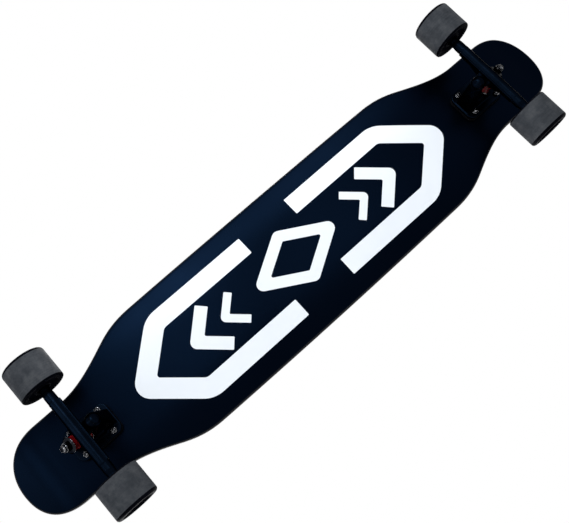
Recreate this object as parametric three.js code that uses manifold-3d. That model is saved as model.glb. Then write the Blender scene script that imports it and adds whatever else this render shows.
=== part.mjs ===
// A longboard skateboard in millimetres. +X runs to the front, +Y to the left and +Z up.
// The origin is on the ground, under the middle of the board.
import * as THREE from "three";
import { ConvexGeometry } from "three/addons/geometries/ConvexGeometry.js";
import { mergeVertices } from "three/addons/utils/BufferGeometryUtils.js";
import Module from "manifold-3d";

const wasm = await Module();
wasm.setup();

// ---- Layout of the board ----
const wheelbase = 880; // axle to axle
const overhang = 145; // axle to the end of the deck
const seatGap = 0.3; // left between pieces that rest on each other

// ---- Deck ----
const deckWidth = 250;
const neckWidth = 148; // between the wheels
const deckThickness = 12;
const gripThickness = 1;
const edgeRound = 2; // bevel along both rims of the deck
const concaveDepth = 7; // how far the long sides rise over the middle
const camberHeight = 3; // how far the middle arches over the truck platforms
const flatWidth = 80; // level strip down the middle
const sideTaper = 2; // each long side draws in this much towards its shoulder
const shoulderSetback = 175; // axle to the end of the long side
const shoulderLength = 87; // round of the shoulder, up to the slanted neck
const shoulderFall = 21.5; // how far the shoulder's round draws in
const neckSlope = 0.46; // slant between shoulder and neck
const neckReach = 8; // the neck is at its width this far past the axle
const tipSetout = 65; // axle to the start of the rounded end
const tipFullness = 48; // handles of the rounded end's curve
const platformSetback = 65; // axle to the inner end of the level truck platform
const kickSetout = 60; // axle to the start of the kick
const kickRadius = 140;
const kickAngle = THREE.MathUtils.degToRad(23);

// ---- Truck ----
const truckHeight = 75; // axle to the baseplate's mounting face
const riserThickness = 6;
const steeringAngle = THREE.MathUtils.degToRad(45); // steering axis over the level
const axleSetback = 40; // kingpin to the axle, along the steering axis
const rake = 18.7; // steering axis to the axle
const pivotReach = 58; // kingpin to the pivot, along the steering axis
const hangerWidth = 180;
const barRadius = 9.5;
const barFlange = 1; // the bar's straight inner edge stands out this far
const journalLength = 24; // plain round end of the bar
const journalRadius = 8.2;
const webHalfWidth = 44; // where the web meets the bar
const webThickness = 10; // at the bar
const webLift = 4; // the web meets the bar this far over its middle
const ringRadius = 17;
const ringThickness = 11;
const ringHoleRadius = 8;
const ringSeatDepth = 1.5; // recess that centres a bushing
const pivotPinRadius = 6.2;
const pivotRootRadius = 8.5;
const pivotPinReach = 4; // the pin goes this far past the pivot's centre
const pivotCupWall = 2;
const pivotRim = 5; // the cup's rim lies this far in front of the pivot's centre
const housingRadius = 12;
const housingEndWall = 3.4; // metal behind the cup's closed end

// ---- Baseplate ----
const plateLength = 84;
const plateWidth = 58;
const plateThickness = 6;
const plateCorner = 12;
const plateOffset = 4; // the plate's centre lies this far inside the axle
const boltSpacingAlong = 54;
const boltSpacingAcross = 41.3;
const legWidth = 27;
const seatBlockWidth = 32;

// ---- Kingpin and bushings ----
const kingpinRadius = 4.8;
const kingpinHeadAcross = 14.3; // hexagon across flats
const kingpinHeadHeight = 6;
const kingpinHeadDepth = 9; // metal between the seat and the head
const kingpinTail = 3; // thread that shows past the nut
const kingpinNutHeight = 9;
const bushingRadius = 12.5;
const bushingWaist = 11.5;
const bushingHeight = 15;
const washerRadius = 13.5;
const washerThickness = 1.6;
const washerLip = 1.6; // the cup's rim wraps the bushing this far

// ---- Truck bolts ----
const boltRadius = 2.4;
const boltHeadRadius = 4.8;
const boltHeadHeight = 2.8;
const boltTail = 3; // thread that shows past the nut
const boltSocketRadius = 1.7;
const boltSocketDepth = 1.8;
const boltNutAcross = 9.5; // hexagon across flats
const boltNutHeight = 6;

// ---- Axle, wheels and bearings ----
const axleRadius = 4;
const axleLength = 250;
const axleBevel = 1;
const axleNutAcross = 12.7; // hexagon across flats
const axleNutHeight = 7;
const wheelRadius = 36.5;
const wheelWidth = 56;
const wheelLipRound = 4;
const wheelLipWidth = 8; // flat ring between the tread's round and the dished side
const innerLipOverlap = 5; // the wheel's inner side covers the bar's end by this much
const bearingRadius = 11;
const bearingBore = 4;
const bearingWidth = 7;
const bearingRingWall = 2; // thickness of each bearing ring's end face
const shieldDepth = 0.7; // the shields lie this deep between the rings
const spacerLength = 10;
const spacerRadius = 5.2;
const coreRadius = 8.5; // bore between the two bearing seats

// ---- Clearances ----
const holeClearance = 0.4; // round a bolt, kingpin or axle
const cupClearance = 0.3; // round the pivot pin, and round the cup

// ---- Facets ----
const wheelSides = 28;
const roundSides = 16;
const bearingSides = 12;
const boltSides = 8;
const innerShares = [0, 0.32, 0.66]; // loops inside the deck's outline, as shares of its width

// ---- Values worked out from the sizes above ----
const axleX = wheelbase / 2;
const deckHalfLength = axleX + overhang;
const deckHalfWidth = deckWidth / 2;
const flatHalfWidth = flatWidth / 2;
const riserBottom = truckHeight + seatGap; // over the axle
const deckBottom = wheelRadius + riserBottom + riserThickness + seatGap; // over the ground
const gripBottom = deckBottom + deckThickness + seatGap;
const deckTop = gripBottom + gripThickness;
const washerHeight = washerThickness + seatGap;
const seatDistance = ringThickness / 2 - ringSeatDepth + seatGap + bushingHeight + seatGap + washerHeight;
const bearingGap = seatGap;
const cupInnerDepth = pivotRim + pivotPinReach + cupClearance;
const cupDepth = cupInnerDepth + pivotCupWall;
const housingBack = cupDepth + seatGap + housingEndWall - pivotRim; // behind the pivot's centre
const innerBearingStart = hangerWidth / 2 + bearingGap;
const spacerStart = innerBearingStart + bearingWidth + bearingGap;
const outerBearingStart = spacerStart + spacerLength + bearingGap;
const axleNutStart = outerBearingStart + bearingWidth + bearingGap;
const wheelStart = hangerWidth / 2 - innerLipOverlap;
const boltPlaces = [
  { name: "inner_left", along: -1, across: 1 },
  { name: "inner_right", along: -1, across: -1 },
  { name: "outer_left", along: 1, across: 1 },
  { name: "outer_right", along: 1, across: -1 },
];

// ---- Materials ----
const finishes = {
  lacquer: { color: 0x07090f, roughness: 0.25, metalness: 0.0 },
  grit: { color: 0x16171a, roughness: 0.95, metalness: 0.0 },
  blackMetal: { color: 0x0a0c12, roughness: 0.3, metalness: 0.4 },
  steel: { color: 0xb9bcc2, roughness: 0.3, metalness: 1.0 },
  blackSteel: { color: 0x26272b, roughness: 0.3, metalness: 1.0 },
  redUrethane: { color: 0xb01218, roughness: 0.4, metalness: 0.0 },
  greyUrethane: { color: 0x303236, roughness: 0.8, metalness: 0.0 },
  blackPlastic: { color: 0x101114, roughness: 0.6, metalness: 0.0 },
};

// ---- Helpers ----
function piece(name, geometry, finish) {
  const mesh = new THREE.Mesh(geometry, new THREE.MeshStandardMaterial(finishes[finish]));
  mesh.name = name;
  return mesh;
}

// A closed geometry as a solid that can be joined and cut.
function toSolid(geometry) {
  const plain = geometry.clone();
  plain.deleteAttribute("normal");
  plain.deleteAttribute("uv");
  const merged = mergeVertices(plain, 1e-4);
  return new wasm.Manifold(
    new wasm.Mesh({
      numProp: 3,
      vertProperties: new Float32Array(merged.attributes.position.array),
      triVerts: new Uint32Array(merged.index.array),
    }),
  );
}

function fromSolid(solid) {
  const mesh = solid.getMesh();
  const geometry = new THREE.BufferGeometry();
  geometry.setAttribute("position", new THREE.BufferAttribute(mesh.vertProperties, 3));
  geometry.setIndex(new THREE.BufferAttribute(mesh.triVerts, 1));
  geometry.computeVertexNormals();
  return geometry;
}

function joined(...geometries) {
  return geometries.map(toSolid).reduce((whole, next) => whole.add(next));
}

function without(solid, ...cutters) {
  return cutters.map(toSolid).reduce((whole, next) => whole.subtract(next), solid);
}

// A solid of revolution about +Z. The profile holds [radius, height] pairs, bottom to top outside.
function turned(profile, sides) {
  const points = profile.map(([radius, height]) => new THREE.Vector2(radius, height));
  return new THREE.LatheGeometry(points, sides).rotateX(Math.PI / 2);
}

// A round bar from one point to another.
function bar(radius, from, to, sides) {
  const along = new THREE.Vector3().subVectors(to, from);
  const geometry = new THREE.CylinderGeometry(radius, radius, along.length(), sides);
  const turn = new THREE.Quaternion().setFromUnitVectors(new THREE.Vector3(0, 1, 0), along.normalize());
  geometry.applyQuaternion(turn);
  const middle = new THREE.Vector3().addVectors(from, to).multiplyScalar(0.5);
  return geometry.translate(middle.x, middle.y, middle.z);
}

function extruded(shape, depth) {
  return new THREE.ExtrudeGeometry(shape, { depth, bevelEnabled: false, curveSegments: 4 });
}

// A side profile in X and Z, given thickness across Y and centred on it.
function sidePlate(profile, width) {
  const shape = new THREE.Shape(profile.map(([x, z]) => new THREE.Vector2(x, z)));
  return extruded(shape, width).rotateX(Math.PI / 2).translate(0, width / 2, 0);
}

function circlePath(x, y, radius, sides) {
  const path = new THREE.Path();
  for (let i = 0; i < sides; i += 1) {
    const angle = (-2 * Math.PI * i) / sides;
    path[i ? "lineTo" : "moveTo"](x + radius * Math.cos(angle), y + radius * Math.sin(angle));
  }
  return path;
}

function hexagon(across) {
  const corner = across / Math.sqrt(3);
  const shape = new THREE.Shape();
  for (let i = 0; i < 6; i += 1) {
    shape[i ? "lineTo" : "moveTo"](corner * Math.cos((i * Math.PI) / 3), corner * Math.sin((i * Math.PI) / 3));
  }
  return shape;
}

// A lock nut from z = 0 up: a hexagon with a round collar on its far end.
function lockNut(across, height, boreRadius) {
  const collarHeight = 0.3 * height;
  const shape = hexagon(across);
  const body = extruded(shape, height - collarHeight);
  const collar = bar(0.46 * across, new THREE.Vector3(0, 0, 0), new THREE.Vector3(0, 0, height), bearingSides);
  const boreCorner = boreRadius / Math.cos(Math.PI / boltSides);
  const bore = bar(boreCorner, new THREE.Vector3(0, 0, -1), new THREE.Vector3(0, 0, height + 1), boltSides);
  return fromSolid(without(joined(body, collar), bore));
}

// ---- Deck and grip tape ----
function quarterOutline() {
  const shoulder = new THREE.Vector2(axleX - shoulderSetback, deckHalfWidth - sideTaper);
  const slant = new THREE.Vector2(shoulder.x + shoulderLength, shoulder.y - shoulderFall);
  const neck = new THREE.Vector2(axleX + neckReach, neckWidth / 2);
  const tip = new THREE.Vector2(axleX + tipSetout, neckWidth / 2);
  const end = new THREE.Vector2(deckHalfLength, 0);
  const slantHandle = (from, reach) => new THREE.Vector2(from.x + reach, from.y - reach * neckSlope);
  const side = new THREE.QuadraticBezierCurve(
    new THREE.Vector2(0, deckHalfWidth),
    new THREE.Vector2(shoulder.x / 2, deckHalfWidth),
    shoulder,
  );
  const shoulderRound = new THREE.CubicBezierCurve(
    shoulder,
    new THREE.Vector2(shoulder.x + shoulderLength / 2, shoulder.y),
    slantHandle(slant, -shoulderLength / 4),
    slant,
  );
  const neckCurve = new THREE.CubicBezierCurve(
    slant,
    slantHandle(slant, (neck.x - slant.x) / 3),
    new THREE.Vector2(neck.x - (neck.x - slant.x) / 3, neck.y),
    neck,
  );
  const tipRound = new THREE.CubicBezierCurve(
    tip,
    new THREE.Vector2(tip.x + tipFullness, tip.y),
    new THREE.Vector2(end.x, end.y + tipFullness),
    end,
  );
  const points = [];
  const sideSteps = 3;
  for (let i = 0; i < sideSteps; i += 1) {
    points.push(side.getPoint((i + 0.5) / (sideSteps + 0.5)));
  }
  points.push(side.getPoint(1));
  points.push(...shoulderRound.getPoints(4).slice(1));
  points.push(...neckCurve.getPoints(3).slice(1));
  points.push(...tipRound.getPoints(6));
  return points;
}

// The whole outline, anticlockwise from above, from the quarter at +X and +Y.
function deckOutline() {
  const quarter = quarterOutline();
  const corner = quarter.slice(0, -1);
  const mirrored = (points, sx, sy) => points.map((p) => new THREE.Vector2(p.x * sx, p.y * sy));
  const end = quarter[quarter.length - 1];
  return [
    ...mirrored([...corner].reverse(), 1, 1),
    ...mirrored(corner, -1, 1),
    new THREE.Vector2(-end.x, end.y),
    ...mirrored([...corner].reverse(), -1, -1),
    ...mirrored(corner, 1, -1),
    end,
  ];
}

function deckRise(x, y) {
  const platformX = axleX - platformSetback;
  const along = Math.min(Math.abs(x) / platformX, 1);
  const camber = (camberHeight * (1 + Math.cos(Math.PI * along))) / 2;
  const outside = Math.max(Math.abs(y) - flatHalfWidth, 0) / (deckHalfWidth - flatHalfWidth);
  const concave = concaveDepth * outside ** 2;
  const past = Math.max(Math.abs(x) - axleX - kickSetout, 0);
  const arcLength = kickRadius * Math.sin(kickAngle);
  const onArc = Math.min(past, arcLength);
  const arcRise = kickRadius - Math.sqrt(kickRadius ** 2 - onArc ** 2);
  const straightRise = (past - onArc) * Math.tan(kickAngle);
  return camber + concave + arcRise + straightRise;
}

// The outline drawn in towards the board's spine: share 1 is the rim, and share 0 the spine.
function outlineLoop(share, inset, height) {
  const tipX = axleX + tipSetout;
  const points = deckOutline().map((p) => {
    const spineX = THREE.MathUtils.clamp(p.x, -tipX, tipX);
    const arm = new THREE.Vector2(p.x - spineX, p.y);
    const scale = share * Math.max(1 - inset / arm.length(), 0);
    const x = spineX + arm.x * scale;
    const y = arm.y * scale;
    return new THREE.Vector3(x, y, height + deckRise(x, y));
  });
  return { reach: share * deckHalfWidth - inset, points };
}

// A closed skin over loops that start and end on the spine. Each facet is split from its corner
// nearer the spine, so that skins with the same loops lie parallel.
function skin(loops) {
  const positions = [];
  const addTriangle = (a, b, c) => {
    const flat = a.distanceTo(b) < 1e-3 || b.distanceTo(c) < 1e-3 || c.distanceTo(a) < 1e-3;
    if (!flat) {
      positions.push(...a.toArray(), ...b.toArray(), ...c.toArray());
    }
  };
  for (let k = 0; k + 1 < loops.length; k += 1) {
    const here = loops[k].points;
    const next = loops[k + 1].points;
    const outward = loops[k + 1].reach >= loops[k].reach;
    for (let i = 0; i < here.length; i += 1) {
      const j = (i + 1) % here.length;
      if (outward) {
        addTriangle(here[i], next[j], next[i]);
        addTriangle(here[i], here[j], next[j]);
      } else {
        addTriangle(here[i], here[j], next[i]);
        addTriangle(here[j], next[j], next[i]);
      }
    }
  }
  const geometry = new THREE.BufferGeometry();
  geometry.setAttribute("position", new THREE.Float32BufferAttribute(positions, 3));
  return mergeVertices(geometry, 1e-4);
}

function boltCentres() {
  return [1, -1].flatMap((end) =>
    boltPlaces.map(({ along, across }) => {
      const x = end * (axleX - plateOffset + (along * boltSpacingAlong) / 2);
      return new THREE.Vector2(x, (across * boltSpacingAcross) / 2);
    }),
  );
}

// The hole through deck and grip tape, with its countersink open to the top.
function boltHole({ x, y }) {
  const shank = boltRadius + holeClearance;
  const head = boltHeadRadius + holeClearance;
  const top = deckTop - seatGap;
  return turned(
    [
      [0, deckBottom - 1],
      [shank, deckBottom - 1],
      [shank, top - boltHeadHeight - holeClearance],
      [head, top],
      [head, deckTop + 1],
      [0, deckTop + 1],
    ],
    boltSides,
  ).translate(x, y, 0);
}

function deckPiece() {
  const top = deckBottom + deckThickness;
  const loops = [
    ...innerShares.map((share) => outlineLoop(share, 0, deckBottom)),
    outlineLoop(1, edgeRound, deckBottom),
    outlineLoop(1, 0, deckBottom + edgeRound),
    outlineLoop(1, 0, top - edgeRound),
    outlineLoop(1, edgeRound, top),
    ...[...innerShares].reverse().map((share) => outlineLoop(share, 0, top)),
  ];
  const body = fromSolid(without(toSolid(skin(loops)), ...boltCentres().map(boltHole)));
  return piece("deck", body, "lacquer");
}

function gripPiece() {
  const loops = [
    ...innerShares.map((share) => outlineLoop(share, 0, gripBottom)),
    outlineLoop(1, edgeRound, gripBottom),
    outlineLoop(1, edgeRound, deckTop),
    ...[...innerShares].reverse().map((share) => outlineLoop(share, 0, deckTop)),
  ];
  const body = fromSolid(without(toSolid(skin(loops)), ...boltCentres().map(boltHole)));
  return piece("grip_tape", body, "grit");
}

// ---- Truck frame: origin at the axle's middle, +X towards the board's end ----
// The steering frame has its origin in the middle of the ring, +X up along the steering axis
// and +Z up along the kingpin.
const steeringTurn = new THREE.Euler(0, -steeringAngle, 0);

function steeringPoint(along, up) {
  const p = new THREE.Vector3(along + axleSetback, 0, up + rake);
  return p.applyEuler(steeringTurn);
}

const ringCentre = steeringPoint(0, 0);

function inTruckFrame(geometry) {
  const turn = new THREE.Quaternion().setFromEuler(steeringTurn);
  return geometry.applyQuaternion(turn).translate(ringCentre.x, ringCentre.y, ringCentre.z);
}

function steeringGroup() {
  const group = new THREE.Group();
  group.position.copy(ringCentre);
  group.rotation.copy(steeringTurn);
  return group;
}

function plateShape() {
  const halfLength = plateLength / 2;
  const halfWidth = plateWidth / 2;
  const shape = new THREE.Shape();
  shape.moveTo(halfLength - plateCorner, -halfWidth);
  shape.absarc(halfLength - plateCorner, plateCorner - halfWidth, plateCorner, -Math.PI / 2, 0);
  shape.absarc(halfLength - plateCorner, halfWidth - plateCorner, plateCorner, 0, Math.PI / 2);
  shape.absarc(plateCorner - halfLength, halfWidth - plateCorner, plateCorner, Math.PI / 2, Math.PI);
  shape.absarc(plateCorner - halfLength, plateCorner - halfWidth, plateCorner, Math.PI, 1.5 * Math.PI);
  for (const { along, across } of boltPlaces) {
    const x = (along * boltSpacingAlong) / 2;
    const y = (across * boltSpacingAcross) / 2;
    shape.holes.push(circlePath(x, y, boltRadius + holeClearance, boltSides));
  }
  return shape;
}

function riserPiece(end) {
  const pad = extruded(plateShape(), riserThickness).translate(-plateOffset, 0, riserBottom);
  const headClearance = kingpinHeadAcross / Math.sqrt(3) + 1;
  const headX = ringCentre.x - Math.sin(steeringAngle) * (seatDistance + kingpinHeadDepth + kingpinHeadHeight);
  const window = bar(
    headClearance,
    new THREE.Vector3(headX, 0, riserBottom - 1),
    new THREE.Vector3(headX, 0, riserBottom + riserThickness + 1),
    roundSides,
  );
  return piece(`${end}_riser_pad`, fromSolid(without(toSolid(pad), window)), "blackPlastic");
}

function baseplatePiece(end) {
  const plateBottom = truckHeight - plateThickness;
  const plate = extruded(plateShape(), plateThickness).translate(-plateOffset, 0, plateBottom);
  const seatEdge = (along) => steeringPoint(along, seatDistance);
  const outerEdge = seatEdge(washerRadius + 1);
  const innerEdge = seatEdge(-washerRadius - 1);
  const rimTop = steeringPoint(pivotRim - pivotReach, housingRadius);
  const backTop = steeringPoint(-housingBack - pivotReach, housingRadius);
  const inside = plateBottom + plateThickness / 2;
  const plateEndX = -plateOffset - plateLength / 2;
  const seatBlock = sidePlate(
    [
      [outerEdge.x, outerEdge.z],
      [outerEdge.x, inside],
      [innerEdge.x - 12, inside],
      [innerEdge.x - 12, innerEdge.z],
      [innerEdge.x, innerEdge.z],
    ],
    seatBlockWidth,
  );
  const leg = sidePlate(
    [
      [innerEdge.x, innerEdge.z],
      [innerEdge.x, inside],
      [plateEndX + 3, inside],
      [plateEndX + 3, plateBottom - 4],
      [backTop.x - 2, backTop.z + 6],
      [backTop.x, backTop.z - 3],
      [rimTop.x, rimTop.z - 3],
      [rimTop.x, rimTop.z],
    ],
    legWidth,
  );
  const alongAxis = (along) => new THREE.Vector3(along, 0, 0);
  const rim = pivotRim - pivotReach;
  const cupSpace = pivotPinRadius + 2 * cupClearance + pivotCupWall;
  const housing = inTruckFrame(bar(housingRadius, alongAxis(rim), alongAxis(-housingBack - pivotReach), roundSides));
  const cupBore = inTruckFrame(
    bar(cupSpace + cupClearance, alongAxis(rim + 10), alongAxis(rim - cupDepth - seatGap), roundSides),
  );
  const upKingpin = (up) => new THREE.Vector3(0, 0, up);
  const kingpinBore = inTruckFrame(
    bar(kingpinRadius + holeClearance, upKingpin(seatDistance - 10), upKingpin(seatDistance + 30), roundSides),
  );
  const headPocket = inTruckFrame(
    bar(
      kingpinHeadAcross / Math.sqrt(3) + 0.7,
      upKingpin(seatDistance + kingpinHeadDepth - seatGap),
      upKingpin(seatDistance + 60),
      roundSides,
    ),
  );
  const body = without(joined(plate, seatBlock, leg, housing), cupBore, kingpinBore, headPocket);
  return piece(`${end}_baseplate`, fromSolid(body), "blackMetal");
}

function pivotCupPiece(end) {
  const inner = pivotPinRadius + cupClearance;
  const outer = inner + pivotCupWall;
  const cup = turned(
    [
      [0, -cupDepth],
      [outer, -cupDepth],
      [outer, 0],
      [inner, 0],
      [inner, -cupInnerDepth],
      [0, -cupInnerDepth],
    ],
    roundSides,
  ).rotateY(Math.PI / 2);
  cup.translate(pivotRim - pivotReach, 0, 0);
  return piece(`${end}_pivot_cup`, cup, "blackPlastic");
}

function kingpinPiece(end) {
  const headBottom = seatDistance + kingpinHeadDepth;
  const tail = seatDistance + kingpinNutHeight + kingpinTail;
  const from = new THREE.Vector3(0, 0, -tail);
  const shank = bar(kingpinRadius, from, new THREE.Vector3(0, 0, headBottom + 1), roundSides);
  const head = extruded(hexagon(kingpinHeadAcross), kingpinHeadHeight).translate(0, 0, headBottom);
  return piece(`${end}_kingpin`, fromSolid(joined(shank, head)), "blackSteel");
}

function washerPiece(name, side) {
  const bore = kingpinRadius + holeClearance;
  const cup = turned(
    [
      [bore, 0],
      [washerRadius + washerThickness, 0],
      [washerRadius + washerThickness, washerThickness + washerLip],
      [washerRadius, washerThickness + washerLip],
      [washerRadius, washerThickness],
      [bore, washerThickness],
      [bore, 0],
    ],
    roundSides,
  );
  const start = seatDistance - seatGap;
  if (side > 0) {
    cup.rotateX(Math.PI);
  }
  return piece(name, cup.translate(0, 0, side * start), "blackSteel");
}

function bushingPiece(name, side) {
  const bore = kingpinRadius + holeClearance;
  const bushing = turned(
    [
      [bore, 0],
      [bushingRadius - 1, 0],
      [bushingRadius, 1],
      [bushingWaist, bushingHeight / 2],
      [bushingRadius, bushingHeight - 1],
      [bushingRadius - 1, bushingHeight],
      [bore, bushingHeight],
      [bore, 0],
    ],
    roundSides,
  );
  const start = ringThickness / 2 - ringSeatDepth + seatGap;
  return piece(name, bushing.translate(0, 0, side > 0 ? start : -start - bushingHeight), "redUrethane");
}

function kingpinNutPiece(end) {
  const nut = lockNut(kingpinHeadAcross, kingpinNutHeight, kingpinRadius + seatGap);
  nut.rotateX(Math.PI).translate(0, 0, -seatDistance);
  return piece(`${end}_kingpin_nut`, nut, "blackSteel");
}

function barSection() {
  const shape = new THREE.Shape();
  const flangeX = -barRadius - barFlange;
  const halfFlange = 2.5;
  const meet = Math.asin(halfFlange / barRadius) + 0.35;
  shape.absarc(0, 0, barRadius, -Math.PI + meet, Math.PI - meet);
  shape.lineTo(flangeX, halfFlange);
  shape.lineTo(flangeX, -halfFlange);
  return shape;
}

// Points of a round disc, for the ends of a convex form.
function discPoints(centre, radius, axisA, axisB, sides) {
  return Array.from({ length: sides }, (_, i) => {
    const angle = (2 * Math.PI * i) / sides;
    return centre
      .clone()
      .addScaledVector(axisA, radius * Math.cos(angle))
      .addScaledVector(axisB, radius * Math.sin(angle));
  });
}

function hangerPiece(end) {
  const acrossAxis = new THREE.Vector3(0, 1, 0);
  const xAxis = new THREE.Vector3(1, 0, 0);
  const zAxis = new THREE.Vector3(0, 0, 1);
  const steer = new THREE.Vector3(1, 0, 0).applyEuler(steeringTurn);
  const up = new THREE.Vector3(0, 0, 1).applyEuler(steeringTurn);
  const middleWidth = hangerWidth - 2 * journalLength;
  const middle = new THREE.ExtrudeGeometry(barSection(), { depth: middleWidth, bevelEnabled: false, curveSegments: 12 });
  middle.rotateX(Math.PI / 2).translate(0, middleWidth / 2, 0);
  const journals = bar(
    journalRadius,
    new THREE.Vector3(0, -hangerWidth / 2, 0),
    new THREE.Vector3(0, hangerWidth / 2, 0),
    roundSides,
  );
  const halfRing = ringThickness / 2;
  const ringEnds = [-halfRing, halfRing].map((lift) => ringCentre.clone().addScaledVector(up, lift));
  const ringDiscs = ringEnds.map((centre) => discPoints(centre, ringRadius, steer, acrossAxis, roundSides));
  const ring = new ConvexGeometry(ringDiscs.flat());
  // The web ends at the ring's middle, so that its underside passes over the roadside washer.
  const innerHalf = ringDiscs.flat().filter((p) => p.clone().sub(ringCentre).dot(steer) < 0.1);
  const barDisc = (y, radius, lift) =>
    discPoints(new THREE.Vector3(0, y, 0).addScaledVector(up, lift), radius, xAxis, zAxis, 10);
  const web = new ConvexGeometry([
    ...barDisc(webHalfWidth, webThickness / 2, webLift),
    ...barDisc(-webHalfWidth, webThickness / 2, webLift),
    ...innerHalf,
  ]);
  const rootCentre = steeringPoint(pivotRim + 4 - pivotReach, 0);
  const root = new ConvexGeometry([
    ...barDisc(pivotRootRadius + 6, barRadius - 1, 0),
    ...barDisc(-pivotRootRadius - 6, barRadius - 1, 0),
    ...discPoints(rootCentre, pivotRootRadius, up, acrossAxis, roundSides),
  ]);
  const pin = inTruckFrame(
    turned(
      [
        [0, -pivotReach - pivotPinReach],
        [pivotPinRadius - 3, -pivotReach - pivotPinReach],
        [pivotPinRadius, -pivotReach - pivotPinReach + 3],
        [pivotPinRadius, pivotRim + 5 - pivotReach],
        [0, pivotRim + 5 - pivotReach],
      ],
      roundSides,
    ).rotateY(Math.PI / 2),
  );
  const upKingpin = (lift) => new THREE.Vector3(0, 0, lift);
  const ringHole = inTruckFrame(bar(ringHoleRadius, upKingpin(-30), upKingpin(30), roundSides));
  const seats = [-1, 1].map((side) =>
    inTruckFrame(
      bar(bushingRadius + 1, upKingpin(side * (halfRing - ringSeatDepth)), upKingpin(side * 30), roundSides),
    ),
  );
  const axleBore = bar(
    axleRadius + holeClearance,
    new THREE.Vector3(0, -hangerWidth, 0),
    new THREE.Vector3(0, hangerWidth, 0),
    boltSides,
  );
  const body = without(joined(middle, journals, ring, web, root, pin), ringHole, ...seats, axleBore);
  return piece(`${end}_hanger`, fromSolid(body), "blackMetal");
}

function axlePiece(end) {
  const half = axleLength / 2;
  const axle = turned(
    [
      [0, -half],
      [axleRadius - axleBevel, -half],
      [axleRadius, axleBevel - half],
      [axleRadius, half - axleBevel],
      [axleRadius - axleBevel, half],
      [0, half],
    ],
    roundSides,
  ).rotateX(-Math.PI / 2);
  return piece(`${end}_axle`, axle, "steel");
}

// ---- Wheel frame: the axle's middle, with +Z out along the axle ----
function wheelProfile() {
  const seat = bearingRadius + seatGap;
  const inner = wheelStart;
  const outer = wheelStart + wheelWidth;
  const seatOneEnd = innerBearingStart + bearingWidth + bearingGap;
  const seatTwoStart = outerBearingStart - bearingGap;
  const seatTwoEnd = outerBearingStart + bearingWidth;
  const tread = wheelRadius / Math.cos(Math.PI / wheelSides);
  const lip = tread - wheelLipRound;
  const dish = lip - wheelLipWidth;
  const bevel = wheelLipRound * (1 - Math.SQRT1_2);
  return [
    [seat + 2, inner + 1],
    [dish, inner],
    [lip, inner],
    [tread - bevel, inner + bevel],
    [tread, inner + wheelLipRound],
    [tread, outer - wheelLipRound],
    [tread - bevel, outer - bevel],
    [lip, outer],
    [dish, outer],
    [seat + 1, seatTwoEnd],
    [seat, seatTwoEnd],
    [seat, seatTwoStart],
    [coreRadius, seatTwoStart],
    [coreRadius, seatOneEnd],
    [seat, seatOneEnd],
    [seat + 2, inner + 1],
  ];
}

function wheelPiece(name) {
  // Half a step of turn puts a level facet of the tread on the ground.
  const wheel = turned(wheelProfile(), wheelSides).rotateZ(Math.PI / wheelSides);
  return piece(name, wheel, "greyUrethane");
}

function bearingPiece(name, start) {
  const bore = bearingBore + holeClearance;
  const shieldInner = bore + bearingRingWall;
  const shieldOuter = bearingRadius - bearingRingWall;
  const bearing = turned(
    [
      [bore, 0],
      [shieldInner, 0],
      [shieldInner, shieldDepth],
      [shieldOuter, shieldDepth],
      [shieldOuter, 0],
      [bearingRadius, 0],
      [bearingRadius, bearingWidth],
      [shieldOuter, bearingWidth],
      [shieldOuter, bearingWidth - shieldDepth],
      [shieldInner, bearingWidth - shieldDepth],
      [shieldInner, bearingWidth],
      [bore, bearingWidth],
      [bore, 0],
    ],
    bearingSides,
  );
  return piece(name, bearing.translate(0, 0, start), "steel");
}

function spacerPiece(name) {
  const bore = axleRadius + holeClearance;
  const spacer = turned(
    [
      [bore, 0],
      [spacerRadius, 0],
      [spacerRadius, spacerLength],
      [bore, spacerLength],
      [bore, 0],
    ],
    boltSides,
  );
  return piece(name, spacer.translate(0, 0, spacerStart), "steel");
}

function wheelGroup(end, side) {
  const label = `${end}_${side}`;
  const group = new THREE.Group();
  group.add(wheelPiece(`${label}_wheel`));
  group.add(bearingPiece(`${label}_inner_bearing`, innerBearingStart));
  group.add(bearingPiece(`${label}_outer_bearing`, outerBearingStart));
  group.add(spacerPiece(`${label}_spacer`));
  const nut = lockNut(axleNutAcross, axleNutHeight, axleRadius + seatGap).translate(0, 0, axleNutStart);
  group.add(piece(`${label}_axle_nut`, nut, "steel"));
  return group;
}

// ---- Bolts, in the truck frame ----
function boltPieces(end) {
  const headTop = deckTop - wheelRadius;
  const nutTop = truckHeight - plateThickness - seatGap;
  const tip = nutTop - boltNutHeight - boltTail;
  return boltPlaces.flatMap(({ name, along, across }) => {
    const x = (along * boltSpacingAlong) / 2 - plateOffset;
    const y = (across * boltSpacingAcross) / 2;
    const bolt = turned(
      [
        [0, tip],
        [boltRadius, tip],
        [boltRadius, headTop - boltHeadHeight],
        [boltHeadRadius, headTop - seatGap],
        [boltHeadRadius, headTop],
        [boltSocketRadius, headTop],
        [boltSocketRadius, headTop - boltSocketDepth],
        [0, headTop - boltSocketDepth],
      ],
      boltSides,
    );
    const nut = lockNut(boltNutAcross, boltNutHeight, boltRadius + seatGap);
    nut.rotateX(Math.PI).translate(x, y, nutTop);
    return [
      piece(`${end}_bolt_${name}`, bolt.translate(x, y, 0), "blackSteel"),
      piece(`${end}_nut_${name}`, nut, "blackSteel"),
    ];
  });
}

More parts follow.
